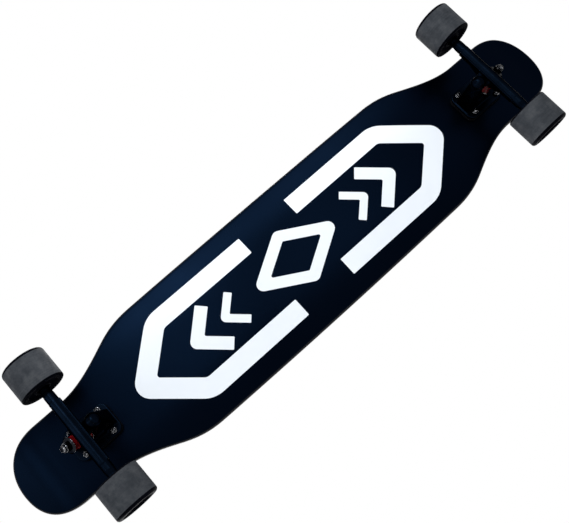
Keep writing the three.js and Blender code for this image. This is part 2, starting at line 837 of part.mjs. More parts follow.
function truckGroup(end, direction) {
  const group = new THREE.Group();
  group.position.set(direction * axleX, 0, wheelRadius);
  group.rotation.z = direction > 0 ? 0 : Math.PI;
  group.add(riserPiece(end), baseplatePiece(end), hangerPiece(end), axlePiece(end), ...boltPieces(end));
  const steering = steeringGroup();
  steering.add(
    pivotCupPiece(end),
    kingpinPiece(end),
    kingpinNutPiece(end),
    washerPiece(`${end}_boardside_washer`, 1),
    washerPiece(`${end}_roadside_washer`, -1),
    bushingPiece(`${end}_boardside_bushing`, 1),
    bushingPiece(`${end}_roadside_bushing`, -1),
  );
  group.add(steering);
  for (const side of ["left", "right"]) {
    const wheels = wheelGroup(end, side);
    // In the rear truck, which is turned about, the board's left lies on -Y.
    const toLeft = (side === "left") === direction > 0;
    wheels.rotation.x = toLeft ? -Math.PI / 2 : Math.PI / 2;
    group.add(wheels);
  }
  return group;
}

const board = new THREE.Group();
board.add(deckPiece(), gripPiece(), truckGroup("front", 1), truckGroup("rear", -1));

export default board;
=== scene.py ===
"""A longboard skateboard seen from below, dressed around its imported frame.

Shapes are worked out in millimetres, in three frames: the board's own (+X front, +Y left, +Z up,
origin on the ground), each truck's (origin at the axle's middle, +X towards the board's end) and
each wheel's (+Z out along the axle). Pieces are stored in metres, in the board's frame.
"""
import math

import bmesh
import bpy
from mathutils import Matrix, Vector


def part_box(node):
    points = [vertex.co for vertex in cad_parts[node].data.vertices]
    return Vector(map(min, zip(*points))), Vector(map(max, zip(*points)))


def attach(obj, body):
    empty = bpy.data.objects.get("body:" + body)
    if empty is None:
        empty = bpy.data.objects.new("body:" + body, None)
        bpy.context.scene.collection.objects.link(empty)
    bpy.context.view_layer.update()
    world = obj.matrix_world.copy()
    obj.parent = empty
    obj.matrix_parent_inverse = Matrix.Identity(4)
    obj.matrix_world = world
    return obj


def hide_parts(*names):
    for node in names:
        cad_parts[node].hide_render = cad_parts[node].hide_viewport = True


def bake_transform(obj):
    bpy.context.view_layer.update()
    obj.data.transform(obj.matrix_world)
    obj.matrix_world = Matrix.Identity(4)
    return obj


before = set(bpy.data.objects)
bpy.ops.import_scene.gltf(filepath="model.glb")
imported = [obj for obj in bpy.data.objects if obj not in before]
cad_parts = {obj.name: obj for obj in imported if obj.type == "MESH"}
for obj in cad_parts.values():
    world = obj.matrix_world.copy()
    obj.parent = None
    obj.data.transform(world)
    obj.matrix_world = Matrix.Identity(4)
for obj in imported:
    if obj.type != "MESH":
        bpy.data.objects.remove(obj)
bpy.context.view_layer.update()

TO_METRES = Matrix.Scale(0.001, 4)
ENDS = ("front", "rear")
SIDES = ("left", "right")


def frame_box(node):
    """A solid's lowest and highest corners, in millimetres."""
    low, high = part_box(node)
    return low * 1000, high * 1000


# ---- Places taken from the frame ----
axle_low, axle_high = frame_box("front_axle")
wheel_low, wheel_high = frame_box("front_left_wheel")
deck_low, deck_high = frame_box("deck")
riser_low, riser_high = frame_box("front_riser_pad")
plate_high = frame_box("front_baseplate")[1]
AXLE_X = (axle_low.x + axle_high.x) / 2
WHEEL_RADIUS = (axle_low.z + axle_high.z) / 2
WHEEL_INNER = wheel_low.y
WHEEL_OUTER = wheel_high.y
AXLE_HALF = axle_high.y

# ---- Sizes of the deck ----
SEAT_GAP = 0.3
DECK_HALF_LENGTH = deck_high.x
DECK_HALF_WIDTH = deck_high.y
DECK_BOTTOM = riser_high.z + SEAT_GAP
DECK_THICKNESS = 12
GRIP_BOTTOM = DECK_BOTTOM + DECK_THICKNESS + SEAT_GAP
GRIP_THICKNESS = 1
DECK_TOP = GRIP_BOTTOM + GRIP_THICKNESS
RIM_ROUND = 2.6
RIM_STEPS = 5
GRIP_INSET = 2.2
GRIP_ROUND = 0.4
CONCAVE_DEPTH = 7
CAMBER_HEIGHT = 3
FLAT_HALF_WIDTH = 40
NECK_HALF_WIDTH = 74
SIDE_TAPER = 2
SHOULDER_SETBACK = 175
SHOULDER_LENGTH = 87
SHOULDER_FALL = 21.5
NECK_SLOPE = 0.46
NECK_REACH = 8
TIP_SETOUT = 65
TIP_FULLNESS = 48
PLATFORM_SETBACK = 65
KICK_SETOUT = 60
KICK_RADIUS = 140
KICK_ANGLE = math.radians(23)
LOOPS_TO_RIM = 16

# ---- Sizes of the trucks ----
TRUCK_HEIGHT = plate_high.z - WHEEL_RADIUS
RISER_THICKNESS = riser_high.z - riser_low.z
STEERING_ANGLE = math.radians(45)
AXLE_SETBACK = 40
RAKE = 18.7
PIVOT_REACH = 58
HANGER_HALF = 90
BAR_RADIUS = 9.5
BAR_FLANGE = 1
JOURNAL_LENGTH = 24
JOURNAL_RADIUS = 8.2
RIB_HALF = 60
WEB_HALF_WIDTH = 44
WEB_THICKNESS = 10
WEB_LIFT = 4
RING_RADIUS = 17
RING_THICKNESS = 11
RING_HOLE_RADIUS = 8
RING_SEAT_DEPTH = 1.5
PIVOT_PIN_RADIUS = 6.2
PIVOT_ROOT_RADIUS = 8.5
PIVOT_PIN_REACH = 4
PIVOT_CUP_WALL = 2
PIVOT_RIM = 5
CUP_CLEARANCE = 0.3
CUP_INNER_DEPTH = PIVOT_RIM + PIVOT_PIN_REACH + CUP_CLEARANCE
CUP_DEPTH = CUP_INNER_DEPTH + PIVOT_CUP_WALL
HOUSING_RADIUS = 12
HOUSING_WALL = 3.4
HOUSING_BACK = CUP_DEPTH + SEAT_GAP + HOUSING_WALL - PIVOT_RIM
HOUSING_RIM = PIVOT_RIM - PIVOT_REACH
PLATE_LENGTH = 84
PLATE_WIDTH = 58
PLATE_THICKNESS = 6
PLATE_CORNER = 12
PLATE_OFFSET = 4
PLATE_BOTTOM = TRUCK_HEIGHT - PLATE_THICKNESS
PLATE_INSIDE = PLATE_BOTTOM + PLATE_THICKNESS / 2
BOLT_ALONG = 54
BOLT_ACROSS = 41.3
LEG_WIDTH = 27
LEG_END_HEIGHT = 4
LEG_END_INSET = 3
SEAT_BLOCK_WIDTH = 32
SEAT_BLOCK_DEPTH = 12
KINGPIN_RADIUS = 4.8
KINGPIN_ACROSS = 14.3
KINGPIN_CORNER = KINGPIN_ACROSS / math.sqrt(3)
KINGPIN_HEAD_HEIGHT = 6
KINGPIN_HEAD_DEPTH = 9
KINGPIN_TAIL = 3
KINGPIN_NUT_HEIGHT = 9
BUSHING_RADIUS = 12.5
BUSHING_WAIST = 11.5
BUSHING_HEIGHT = 15
WASHER_RADIUS = 13.5
WASHER_THICKNESS = 1.6
WASHER_LIP = 1.6
HOLE_CLEARANCE = 0.4
RING_SEAT = RING_THICKNESS / 2 - RING_SEAT_DEPTH
SEAT_DISTANCE = RING_SEAT + 2 * SEAT_GAP + BUSHING_HEIGHT + WASHER_THICKNESS + SEAT_GAP

# ---- Sizes of the bolts, wheels and bearings ----
BOLT_RADIUS = 2.4
BOLT_HEAD_RADIUS = 4.8
BOLT_HEAD_HEIGHT = 2.8
BOLT_TAIL = 3
BOLT_SOCKET_ACROSS = 3
BOLT_SOCKET_DEPTH = 1.8
BOLT_NUT_ACROSS = 9.5
BOLT_NUT_HEIGHT = 6
BOLT_NUT_SEAT = PLATE_BOTTOM - SEAT_GAP
AXLE_RADIUS = 4
AXLE_NUT_ACROSS = 12.7
AXLE_NUT_HEIGHT = 7
THREAD_PITCH = 1.0
THREAD_DEPTH = 0.35
NUT_BODY_SHARE = 0.72
NUT_COLLAR_SHARE = 0.46
NUT_COLLAR_WALL = 1.1
NUT_COLLAR_DEPTH = 0.7
NUT_BORE_GAP = 0.05
BEARING_RADIUS = 11
BEARING_BORE = 4.2
BEARING_WIDTH = 7
SPACER_LENGTH = 10
SPACER_RADIUS = 5.2
CORE_RADIUS = 8.5
INNER_BEARING_START = HANGER_HALF + SEAT_GAP
SPACER_START = INNER_BEARING_START + BEARING_WIDTH + SEAT_GAP
OUTER_BEARING_START = SPACER_START + SPACER_LENGTH + SEAT_GAP
AXLE_NUT_START = OUTER_BEARING_START + BEARING_WIDTH + SEAT_GAP
WHEEL_STARTS = (INNER_BEARING_START, SPACER_START, OUTER_BEARING_START, AXLE_NUT_START)
INNER_LIP_ROUND = 2.5
OUTER_LIP_ROUND = 5

# ---- The photograph's view ----
CAMERA_PLACE = Vector((-0.2404, 0.2381, -1.1091))
CAMERA_FORWARD = Vector((0.17217, -0.19157, 0.96626))
CAMERA_UP = Vector((0.64926, -0.71562, -0.25756))
SENSOR_WIDTH = 36.0
PHOTO_WIDTH = 569
FOCAL_PIXELS = 750.7


# ---- Paths ----
def rounded(points, closed=True, steps=4):
    """A path of (a, b) or (a, b, radius) points, where each corner with a radius becomes an arc."""
    path = []
    count = len(points)
    for i, point in enumerate(points):
        here = Vector(point[:2])
        radius = point[2] if len(point) > 2 else 0
        if not radius or (not closed and i in (0, count - 1)):
            path.append(here)
            continue
        arrive = (here - Vector(points[i - 1][:2])).normalized()
        leave = (Vector(points[(i + 1) % count][:2]) - here).normalized()
        turn = arrive.angle_signed(leave)
        normal = Vector((arrive.y, -arrive.x)) * (1 if turn > 0 else -1)
        reach = radius * math.tan(abs(turn) / 2)
        centre = here - arrive * reach + normal * radius
        arm = -normal * radius
        for k in range(steps + 1):
            swing = -turn * k / steps
            cos, sin = math.cos(swing), math.sin(swing)
            path.append(centre + Vector((arm.x * cos - arm.y * sin, arm.x * sin + arm.y * cos)))
    return path


def bezier(points, steps):
    """Points of a Bezier curve of degree two or three, both ends included."""
    degree = len(points) - 1
    curve = []
    for k in range(steps + 1):
        t = k / steps
        total = Vector((0, 0))
        for i, point in enumerate(points):
            total += math.comb(degree, i) * (1 - t) ** (degree - i) * t**i * Vector(point)
        curve.append(total)
    return curve


# ---- Solids, each a bmesh in millimetres ----
QUARTER_TURN = math.pi / 2
FLIP = Matrix.Rotation(math.pi, 4, "X")
ALONG_X = Matrix.Rotation(QUARTER_TURN, 4, "Y")


def shift(x=0.0, y=0.0, z=0.0):
    return Matrix.Translation((x, y, z))


def moved(bm, matrix):
    bmesh.ops.transform(bm, matrix=matrix, verts=bm.verts)
    return bm


def tidied(bm):
    bmesh.ops.remove_doubles(bm, verts=bm.verts, dist=1e-4)
    bmesh.ops.recalc_face_normals(bm, faces=bm.faces)
    return bm


def turned(profile, sides=48, closed=False, is_second=None):
    """A solid of revolution about +Z from (radius, height) points. is_second picks spans for material 1."""
    bm = bmesh.new()
    rings = []
    for k in range(sides):
        angle = 2 * math.pi * k / sides
        rings.append([bm.verts.new((r * math.cos(angle), r * math.sin(angle), z)) for r, z in profile])
    spans = len(profile) if closed else len(profile) - 1
    for k in range(sides):
        here, after = rings[k], rings[(k + 1) % sides]
        for i in range(spans):
            j = (i + 1) % len(profile)
            face = bm.faces.new((here[i], after[i], after[j], here[j]))
            if is_second and is_second(profile[i], profile[j]):
                face.material_index = 1
    return tidied(bm)


def prism(outline, bottom, top, bevel=0.0, steps=2):
    """An outline in X and Y, given height along Z, with both rims rounded by bevel."""
    bm = bmesh.new()
    base = bm.faces.new([bm.verts.new((p[0], p[1], bottom)) for p in outline])
    grown = bmesh.ops.extrude_face_region(bm, geom=[base])
    top_verts = [g for g in grown["geom"] if isinstance(g, bmesh.types.BMVert)]
    bmesh.ops.translate(bm, verts=top_verts, vec=(0, 0, top - bottom))
    tidied(bm)
    if bevel:
        caps = [f for f in bm.faces if abs(f.normal.z) > 0.99]
        rims = list({e for f in caps for e in f.edges})
        bmesh.ops.bevel(bm, geom=rims, offset=bevel, segments=steps, profile=0.5, affect="EDGES")
    return bm


def side_plate(profile, width):
    """A profile in X and Z, given thickness across Y and centred on it."""
    return moved(prism(profile, -width / 2, width / 2), Matrix.Rotation(QUARTER_TURN, 4, "X"))


def bar(radius, start, end, sides=48):
    start, end = Vector(start), Vector(end)
    length = (end - start).length
    bm = turned([(0, 0), (radius, 0), (radius, length), (0, length)], sides)
    turn = Vector((0, 0, 1)).rotation_difference(end - start).to_matrix().to_4x4()
    return moved(bm, Matrix.Translation(start) @ turn)


def disc_points(centre, radius, axis_a, axis_b, sides=24):
    centre, axis_a, axis_b = Vector(centre), Vector(axis_a), Vector(axis_b)
    angles = (2 * math.pi * k / sides for k in range(sides))
    return [centre + radius * (math.cos(a) * axis_a + math.sin(a) * axis_b) for a in angles]


def hull(points):
    bm = bmesh.new()
    for point in points:
        bm.verts.new(point)
    made = bmesh.ops.convex_hull(bm, input=bm.verts)
    inside = {g for g in made["geom_interior"] + made["geom_unused"] if isinstance(g, bmesh.types.BMVert)}
    bmesh.ops.delete(bm, geom=list(inside), context="VERTS")
    return tidied(bm)


# ---- Meshes ----
SLIVER = 0.002
SHARP_ANGLE = math.radians(32)
SOFT_ANGLE = math.radians(40)


def to_mesh(bm):
    mesh = bpy.data.meshes.new("shape")
    bm.to_mesh(mesh)
    bm.free()
    return mesh


def to_bmesh(mesh):
    bm = bmesh.new()
    bm.from_mesh(mesh)
    return bm


def scratch_object(mesh):
    obj = bpy.data.objects.new("scratch", mesh)
    bpy.context.scene.collection.objects.link(obj)
    return obj


def applied(obj):
    """The object's mesh with its modifiers applied. The object is removed."""
    depsgraph = bpy.context.evaluated_depsgraph_get()
    mesh = bpy.data.meshes.new_from_object(obj.evaluated_get(depsgraph))
    bpy.data.objects.remove(obj)
    return mesh


def joined(solids):
    """Several solids in one, still overlapping."""
    whole = bmesh.new()
    for bm in solids:
        part = to_mesh(bm)
        whole.from_mesh(part)
        bpy.data.meshes.remove(part)
    return whole


def cast(solids, voxel, softening):
    """Overlapping solids fused into one skin, with fillets where they meet, as in a casting."""
    obj = scratch_object(to_mesh(joined(solids)))
    remesh = obj.modifiers.new("fuse", "REMESH")
    remesh.mode = "VOXEL"
    remesh.voxel_size = voxel
    soften = obj.modifiers.new("soften", "SMOOTH")
    soften.factor = 0.5
    soften.iterations = softening
    thin_out = obj.modifiers.new("thin out", "DECIMATE")
    thin_out.ratio = 0.4
    return applied(obj)


def closed_up(mesh):
    """Closes the slivers that a cut can leave open, and drops faces that lie back to back."""
    bm = to_bmesh(mesh)
    bmesh.ops.remove_doubles(bm, verts=bm.verts, dist=SLIVER)
    bmesh.ops.dissolve_degenerate(bm, dist=SLIVER, edges=bm.edges)
    bmesh.ops.holes_fill(bm, edges=[e for e in bm.edges if e.is_boundary], sides=12)
    bmesh.ops.triangulate(bm, faces=bm.faces)
    by_corners = {}
    for face in bm.faces:
        by_corners.setdefault(frozenset(face.verts), []).append(face)
    folded = [face for faces in by_corners.values() if len(faces) == 2 for face in faces]
    bmesh.ops.delete(bm, geom=folded, context="FACES")
    bm.to_mesh(mesh)
    bm.free()
    return mesh


def combined(mesh, solids, operation, closing=True):
    """The mesh after a boolean step with each solid in turn."""
    obj = scratch_object(mesh)
    tools = [scratch_object(to_mesh(bm)) for bm in solids]
    for tool in tools:
        step = obj.modifiers.new("step", "BOOLEAN")
        step.operation = operation
        step.solver = "EXACT"
        step.object = tool
    result = applied(obj)
    for tool in tools:
        bpy.data.objects.remove(tool)
    return closed_up(result) if closing else result


def cut(mesh, *solids):
    return combined(mesh, solids, "DIFFERENCE")


def piece(name, mesh, place, materials, body, slot, *nodes):
    """A finished piece: its mesh is put in place, painted and tied to its body, if it has one."""
    mesh = mesh.copy()
    mesh.name = name
    mesh.transform(TO_METRES @ place)
    for material in materials:
        mesh.materials.append(material)
    for polygon in mesh.polygons:
        polygon.use_smooth = True
    softened = materials[0] in (CASTING, PRINT_WHITE)
    mesh.set_sharp_from_angle(angle=SOFT_ANGLE if softened else SHARP_ANGLE)
    obj = bpy.data.objects.new(name, mesh)
    bpy.context.scene.collection.objects.link(obj)
    if nodes:
        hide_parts(*nodes)
    if body:
        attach(obj, body)
    return obj


def make_pieces(label, rows):
    """One piece a row: name, mesh, place, materials, body, slot, and the node that it replaces, if any."""
    for name, mesh, place, materials, body, slot, *nodes in rows:
        replaced = [f"{label}_{node}" for node in nodes]
        piece(f"{label}_{name}", mesh, place, materials, body, slot, *replaced)


# ---- Frames ----
def truck_place(end):
    if end == "front":
        return shift(AXLE_X, 0, WHEEL_RADIUS)
    return shift(-AXLE_X, 0, WHEEL_RADIUS) @ Matrix.Rotation(math.pi, 4, "Z")


def wheel_place(end, side):
    x = AXLE_X if end == "front" else -AXLE_X
    turn = -QUARTER_TURN if side == "left" else QUARTER_TURN
    return shift(x, 0, WHEEL_RADIUS) @ Matrix.Rotation(turn, 4, "X")


STEERING_TURN = Matrix.Rotation(-STEERING_ANGLE, 4, "Y")
RING_CENTRE = STEERING_TURN @ Vector((AXLE_SETBACK, 0, RAKE))
STEERING = Matrix.Translation(RING_CENTRE) @ STEERING_TURN
STEER_AXIS = (STEERING_TURN @ Vector((1, 0, 0))).normalized()
KINGPIN_AXIS = (STEERING_TURN @ Vector((0, 0, 1))).normalized()


def steering_point(along, up):
    return STEERING @ Vector((along, 0, up))


def steering_bar(radius, start, end, sides=48):
    """A bar on the kingpin's line, between two heights over the ring's middle."""
    return moved(bar(radius, (0, 0, start), (0, 0, end), sides), STEERING)


# ---- Materials ----
# The Mix node's sockets for colours, by number, as other kinds of value share their names.
MIX_FIRST = 6
MIX_SECOND = 7
MIX_RESULT = 2


def added(tree, kind, output, inputs=None, **settings):
    """A new node's output. Each input named is set to a value, or linked from another output."""
    node = tree.nodes.new("ShaderNode" + kind)
    for name, value in settings.items():
        setattr(node, name, value)
    for socket, value in (inputs or {}).items():
        if isinstance(value, bpy.types.NodeSocket):
            tree.links.new(value, node.inputs[socket])
        else:
            node.inputs[socket].default_value = value
    return node.outputs[output]


class Paint:
    """A procedural material around one Principled shader."""

    def __init__(self, name, colour, roughness, metallic=0.0, specular=0.5):
        self.material = bpy.data.materials.new(name)
        self.material.use_nodes = True
        self.tree = self.material.node_tree
        self.shader = self.tree.nodes["Principled BSDF"]
        self.set("Base Color", (*colour, 1))
        self.set("Roughness", roughness)
        self.set("Metallic", metallic)
        self.set("Specular IOR Level", specular)
        self.place = self.add("TexCoord", "Object")
        self.relief = None

    def set(self, socket, value):
        self.shader.inputs[socket].default_value = value

    def link(self, value, socket):
        self.tree.links.new(value, self.shader.inputs[socket])

    def add(self, kind, output, inputs=None, **settings):
        return added(self.tree, kind, output, inputs, **settings)

    def noise(self, scale, detail, stretch=None, roughness=0.5):
        place = self.place
        if stretch:
            place = self.add("Mapping", "Vector", {"Vector": place, "Scale": stretch})
        inputs = {"Vector": place, "Scale": scale, "Detail": detail, "Roughness": roughness}
        return self.add("TexNoise", "Fac", inputs)

    def cells(self, scale, output):
        return self.add("TexVoronoi", output, {"Vector": self.place, "Scale": scale})

    def ramp(self, value, stops):
        """A value turned into colours: stops are (position, (r, g, b)) pairs."""
        colour = self.add("ValToRGB", "Color", {"Fac": value})
        elements = colour.node.color_ramp.elements
        while len(elements) < len(stops):
            elements.new(0.5)
        for element, (position, shade) in zip(elements, stops):
            element.position = position
            element.color = (*shade, 1)
        return colour

    def tones(self, value, first, second, start=0.3, end=0.7):
        """A value turned into a drift from one colour to another."""
        return self.ramp(value, [(start, first), (end, second)])

    def ranged(self, value, low, high, start=0.3, end=0.7):
        """A value between start and end turned into one between low and high."""
        ends = {"From Min": start, "From Max": end, "To Min": low, "To Max": high}
        return self.add("MapRange", "Result", {"Value": value, **ends})

    def mixed(self, factor, first, second):
        inputs = {"Factor": factor, MIX_FIRST: first, MIX_SECOND: second}
        return self.add("Mix", MIX_RESULT, inputs, data_type="RGBA")

    def edges(self, reach):
        """A value near 1 along sharp edges and 0 on open faces, within reach in metres."""
        softened = self.add("Bevel", "Normal", {"Radius": reach}, samples=6)
        surface = self.add("NewGeometry", "Normal")
        agreement = self.add("VectorMath", "Value", {0: softened, 1: surface}, operation="DOT_PRODUCT")
        return self.ranged(agreement, 1.0, 0.0, 0.90, 0.995)

    def colour(self, value):
        self.link(value, "Base Color")

    def roughness(self, value, low, high, start=0.3, end=0.7):
        self.link(self.ranged(value, low, high, start, end), "Roughness")

    def bump(self, height, strength, distance):
        """Adds relief over what was added before it."""
        inputs = {"Height": height, "Strength": strength, "Distance": distance}
        if self.relief:
            inputs["Normal"] = self.relief
        self.relief = self.add("Bump", "Normal", inputs)
        self.link(self.relief, "Normal")


def lacquer():
    """Blue-black metallic lacquer, which stays dark at a slant too."""
    paint = Paint("deck_lacquer", (0.0007, 0.0020, 0.0052), 0.29, metallic=1.0)
    paint.set("Specular Tint", (0.5, 0.5, 0.5, 1))
    paint.colour(paint.tones(paint.noise(2.6, 2), (0.0006, 0.0018, 0.0047), (0.0008, 0.0022, 0.0057)))
    paint.roughness(paint.noise(7, 4), 0.26, 0.32)
    paint.bump(paint.noise(160, 2), 0.05, 0.0003)
    return paint.material


def ply_edge():
    """The deck's sawn edge: dark-stained plies under a thin coat."""
    paint = Paint("ply_edge", (0.016, 0.016, 0.018), 0.42, specular=0.08)
    plies = [
        (0.0, (0.008, 0.008, 0.010)),
        (0.30, (0.030, 0.029, 0.028)),
        (0.36, (0.010, 0.010, 0.012)),
        (0.62, (0.012, 0.012, 0.014)),
        (0.68, (0.036, 0.034, 0.032)),
        (1.0, (0.008, 0.008, 0.010)),
    ]
    paint.colour(paint.ramp(paint.add("Attribute", "Fac", attribute_name="ply"), plies))
    grain = paint.noise(60, 4, stretch=(0.2, 0.2, 6))
    paint.roughness(grain, 0.32, 0.55)
    paint.bump(grain, 0.25, 0.0003)
    return paint.material


def print_white():
    paint = Paint("print_white", (0.79, 0.82, 0.86), 0.42, specular=0.1)
    paint.colour(paint.tones(paint.noise(4, 3), (0.765, 0.795, 0.84), (0.815, 0.845, 0.88)))
    paint.roughness(paint.noise(40, 3), 0.28, 0.42)
    paint.bump(paint.noise(420, 2), 0.06, 0.0003)
    return paint.material


def grit():
    """Grip tape: black grains of many sizes, dusty in places."""
    paint = Paint("grip_grit", (0.02, 0.02, 0.021), 0.92, specular=0.3)
    flakes = paint.cells(1500, "Distance")
    shades = [(0.0, (0.052, 0.052, 0.055)), (0.4, (0.016, 0.016, 0.017)), (0.9, (0.006, 0.006, 0.007))]
    patch = paint.tones(paint.noise(7, 4), (0.013, 0.013, 0.014), (0.027, 0.027, 0.029))
    share = paint.ranged(paint.noise(90, 2), 0.25, 0.7)
    paint.colour(paint.mixed(share, paint.ramp(flakes, shades), patch))
    paint.roughness(paint.cells(1500, "Color"), 0.55, 1.0, 0.0, 1.0)
    paint.bump(flakes, 0.8, 0.0006)
    paint.bump(paint.noise(900, 3), 0.6, 0.0005)
    return paint.material


def black_casting():
    """Cast aluminium with a blue-black metallic finish."""
    paint = Paint("black_casting", (0.0010, 0.0023, 0.0050), 0.3, metallic=1.0)
    paint.set("Specular Tint", (0.4, 0.4, 0.4, 1))
    paint.colour(paint.tones(paint.noise(30, 3), (0.0007, 0.0017, 0.0036), (0.0014, 0.0031, 0.0068)))
    paint.roughness(paint.noise(80, 4), 0.2, 0.36)
    paint.bump(paint.noise(520, 3), 0.06, 0.0003)
    paint.bump(paint.noise(45, 2), 0.08, 0.001)
    return paint.material


def steel(name, colour, roughness):
    paint = Paint(name, colour, roughness, metallic=1.0)
    darker = tuple(0.8 * c for c in colour)
    paint.colour(paint.tones(paint.noise(70, 4), darker, colour, 0.32, 0.6))
    paint.roughness(paint.noise(260, 3), roughness * 0.7, roughness * 1.5)
    paint.bump(paint.noise(700, 2), 0.12, 0.0003)
    return paint.material


def black_steel():
    """Blackened steel, rubbed bright along its edges."""
    paint = Paint("black_steel", (0.011, 0.012, 0.015), 0.13, metallic=1.0)
    paint.set("Specular Tint", (0.4, 0.4, 0.4, 1))
    fine = paint.noise(260, 3)
    black = paint.tones(paint.noise(70, 4), (0.008, 0.009, 0.012), (0.016, 0.017, 0.020), 0.32, 0.6)
    bare = paint.tones(fine, (0.05, 0.05, 0.06), (0.72, 0.73, 0.76), 0.40, 0.56)
    paint.colour(paint.mixed(paint.edges(0.0007), black, bare))
    paint.roughness(fine, 0.09, 0.20)
    paint.bump(paint.noise(700, 2), 0.12, 0.0003)
    return paint.material


def red_urethane():
    paint = Paint("red_urethane", (0.15, 0.003, 0.006), 0.18, specular=0.1)
    paint.set("Subsurface Weight", 0.35)
    paint.set("Subsurface Radius", (0.006, 0.0012, 0.001))
    paint.set("Subsurface Scale", 1.0)
    paint.colour(paint.tones(paint.noise(60, 3), (0.10, 0.0015, 0.003), (0.21, 0.004, 0.007)))
    paint.roughness(paint.noise(180, 3), 0.13, 0.26)
    paint.bump(paint.noise(350, 2), 0.06, 0.0004)
    return paint.material


def tread_urethane():
    """The wheel's ground tread: matte grey, with fine grinding lines round it."""
    paint = Paint("tread_urethane", (0.050, 0.054, 0.061), 0.8, specular=0.15)
    lines = paint.noise(55, 3, stretch=(0.35, 9, 0.35))
    mottle = paint.noise(46, 6, roughness=0.68)
    greys = [(0.34, (0.026, 0.030, 0.036)), (0.5, (0.047, 0.051, 0.059)), (0.66, (0.078, 0.082, 0.089))]
    streak = paint.tones(lines, (0.032, 0.036, 0.042), (0.070, 0.074, 0.081))
    share = paint.ranged(paint.noise(12, 2), 0.1, 0.45)
    paint.colour(paint.mixed(share, paint.ramp(mottle, greys), streak))
    paint.roughness(paint.noise(120, 4), 0.7, 0.95)
    paint.bump(lines, 0.18, 0.0005)
    paint.bump(paint.noise(700, 3), 0.3, 0.0004)
    return paint.material


def side_urethane():
    """The wheel's moulded sides: smooth black."""
    paint = Paint("side_urethane", (0.0015, 0.0018, 0.0035), 0.45, specular=0.008)
    paint.colour(paint.tones(paint.noise(30, 4), (0.0008, 0.0010, 0.0022), (0.0022, 0.0026, 0.0048)))
    paint.roughness(paint.noise(90, 4), 0.36, 0.55)
    paint.bump(paint.noise(420, 2), 0.05, 0.0003)
    return paint.material


def black_plastic():
    paint = Paint("black_plastic", (0.003, 0.003, 0.004), 0.5, specular=0.015)
    paint.colour(paint.tones(paint.noise(50, 3), (0.002, 0.002, 0.003), (0.005, 0.005, 0.006)))
    paint.roughness(paint.noise(140, 3), 0.42, 0.6)
    paint.bump(paint.noise(1100, 2), 0.25, 0.0003)
    return paint.material


def nylon():
    paint = Paint("nylon", (0.50, 0.52, 0.54), 0.45, specular=0.4)
    paint.colour(paint.tones(paint.noise(200, 3), (0.42, 0.44, 0.46), (0.58, 0.60, 0.62)))
    paint.bump(paint.noise(900, 2), 0.1, 0.0002)
    return paint.material


LACQUER = lacquer()
PLY_EDGE = ply_edge()
PRINT_WHITE = print_white()
GRIT = grit()
CASTING = black_casting()
ZINC = steel("zinc_steel", (0.66, 0.67, 0.69), 0.26)
RACE_STEEL = steel("race_steel", (0.60, 0.60, 0.61), 0.16)
RED_URETHANE = red_urethane()
TREAD = tread_urethane()
WHEEL_SIDE = side_urethane()
BLACK_PLASTIC = black_plastic()
NYLON = nylon()
BLACK_STEEL = black_steel()


# ---- Deck and grip tape ----
def quarter_outline():
    shoulder = Vector((AXLE_X - SHOULDER_SETBACK, DECK_HALF_WIDTH - SIDE_TAPER))
    slant = Vector((shoulder.x + SHOULDER_LENGTH, shoulder.y - SHOULDER_FALL))
    neck = Vector((AXLE_X + NECK_REACH, NECK_HALF_WIDTH))
    tip = Vector((AXLE_X + TIP_SETOUT, NECK_HALF_WIDTH))
    end = Vector((DECK_HALF_LENGTH, 0))

    def slant_handle(reach):
        return Vector((slant.x + reach, slant.y - reach * NECK_SLOPE))

    third = (neck.x - slant.x) / 3
    side = bezier([(0, DECK_HALF_WIDTH), (shoulder.x / 2, DECK_HALF_WIDTH), shoulder], 26)
    shoulder_handle = (shoulder.x + SHOULDER_LENGTH / 2, shoulder.y)
    shoulder_round = bezier([shoulder, shoulder_handle, slant_handle(-SHOULDER_LENGTH / 4), slant], 18)
    neck_curve = bezier([slant, slant_handle(third), (neck.x - third, neck.y), neck], 18)
    neck_side = bezier([neck, (neck + tip) / 2, tip], 6)
    tip_round = bezier([tip, (tip.x + TIP_FULLNESS, tip.y), (end.x, end.y + TIP_FULLNESS), end], 30)
    return side + shoulder_round[1:] + neck_curve[1:] + neck_side[1:] + tip_round[1:]


def whole_outline():
    """The outline anticlockwise from above, starting at the front end."""
    quarter = quarter_outline()
    outline = quarter[::-1]
    for points, x, y in ((quarter[1:], -1, 1), (quarter[-2::-1], -1, -1), (quarter[1:-1], 1, -1)):
        outline += [Vector((x * p.x, y * p.y)) for p in points]
    return outline


def deck_rise(x, y):
    """How far the deck lies over its truck platforms."""
    along = min(abs(x) / (AXLE_X - PLATFORM_SETBACK), 1)
    camber = CAMBER_HEIGHT * (1 + math.cos(math.pi * along)) / 2
    outside = max(abs(y) - FLAT_HALF_WIDTH, 0) / (DECK_HALF_WIDTH - FLAT_HALF_WIDTH)
    concave = CONCAVE_DEPTH * outside**2
    past = max(abs(x) - AXLE_X - KICK_SETOUT, 0)
    on_arc = min(past, KICK_RADIUS * math.sin(KICK_ANGLE))
    arc_rise = KICK_RADIUS - math.sqrt(KICK_RADIUS**2 - on_arc**2)
    return camber + concave + arc_rise + (past - on_arc) * math.tan(KICK_ANGLE)


def outline_loop(outline, share, inset, height):
    """The outline drawn in towards the board's spine: share 1 is the rim, and share 0 the spine."""
    tip_x = AXLE_X + TIP_SETOUT
    loop = []
    for point in outline:
        spine_x = max(-tip_x, min(tip_x, point.x))
        arm = Vector((point.x - spine_x, point.y))
        arm *= share * max(1 - inset / arm.length, 0)
        x, y = spine_x + arm.x, arm.y
        loop.append((x, y, height + deck_rise(x, y)))
    return loop


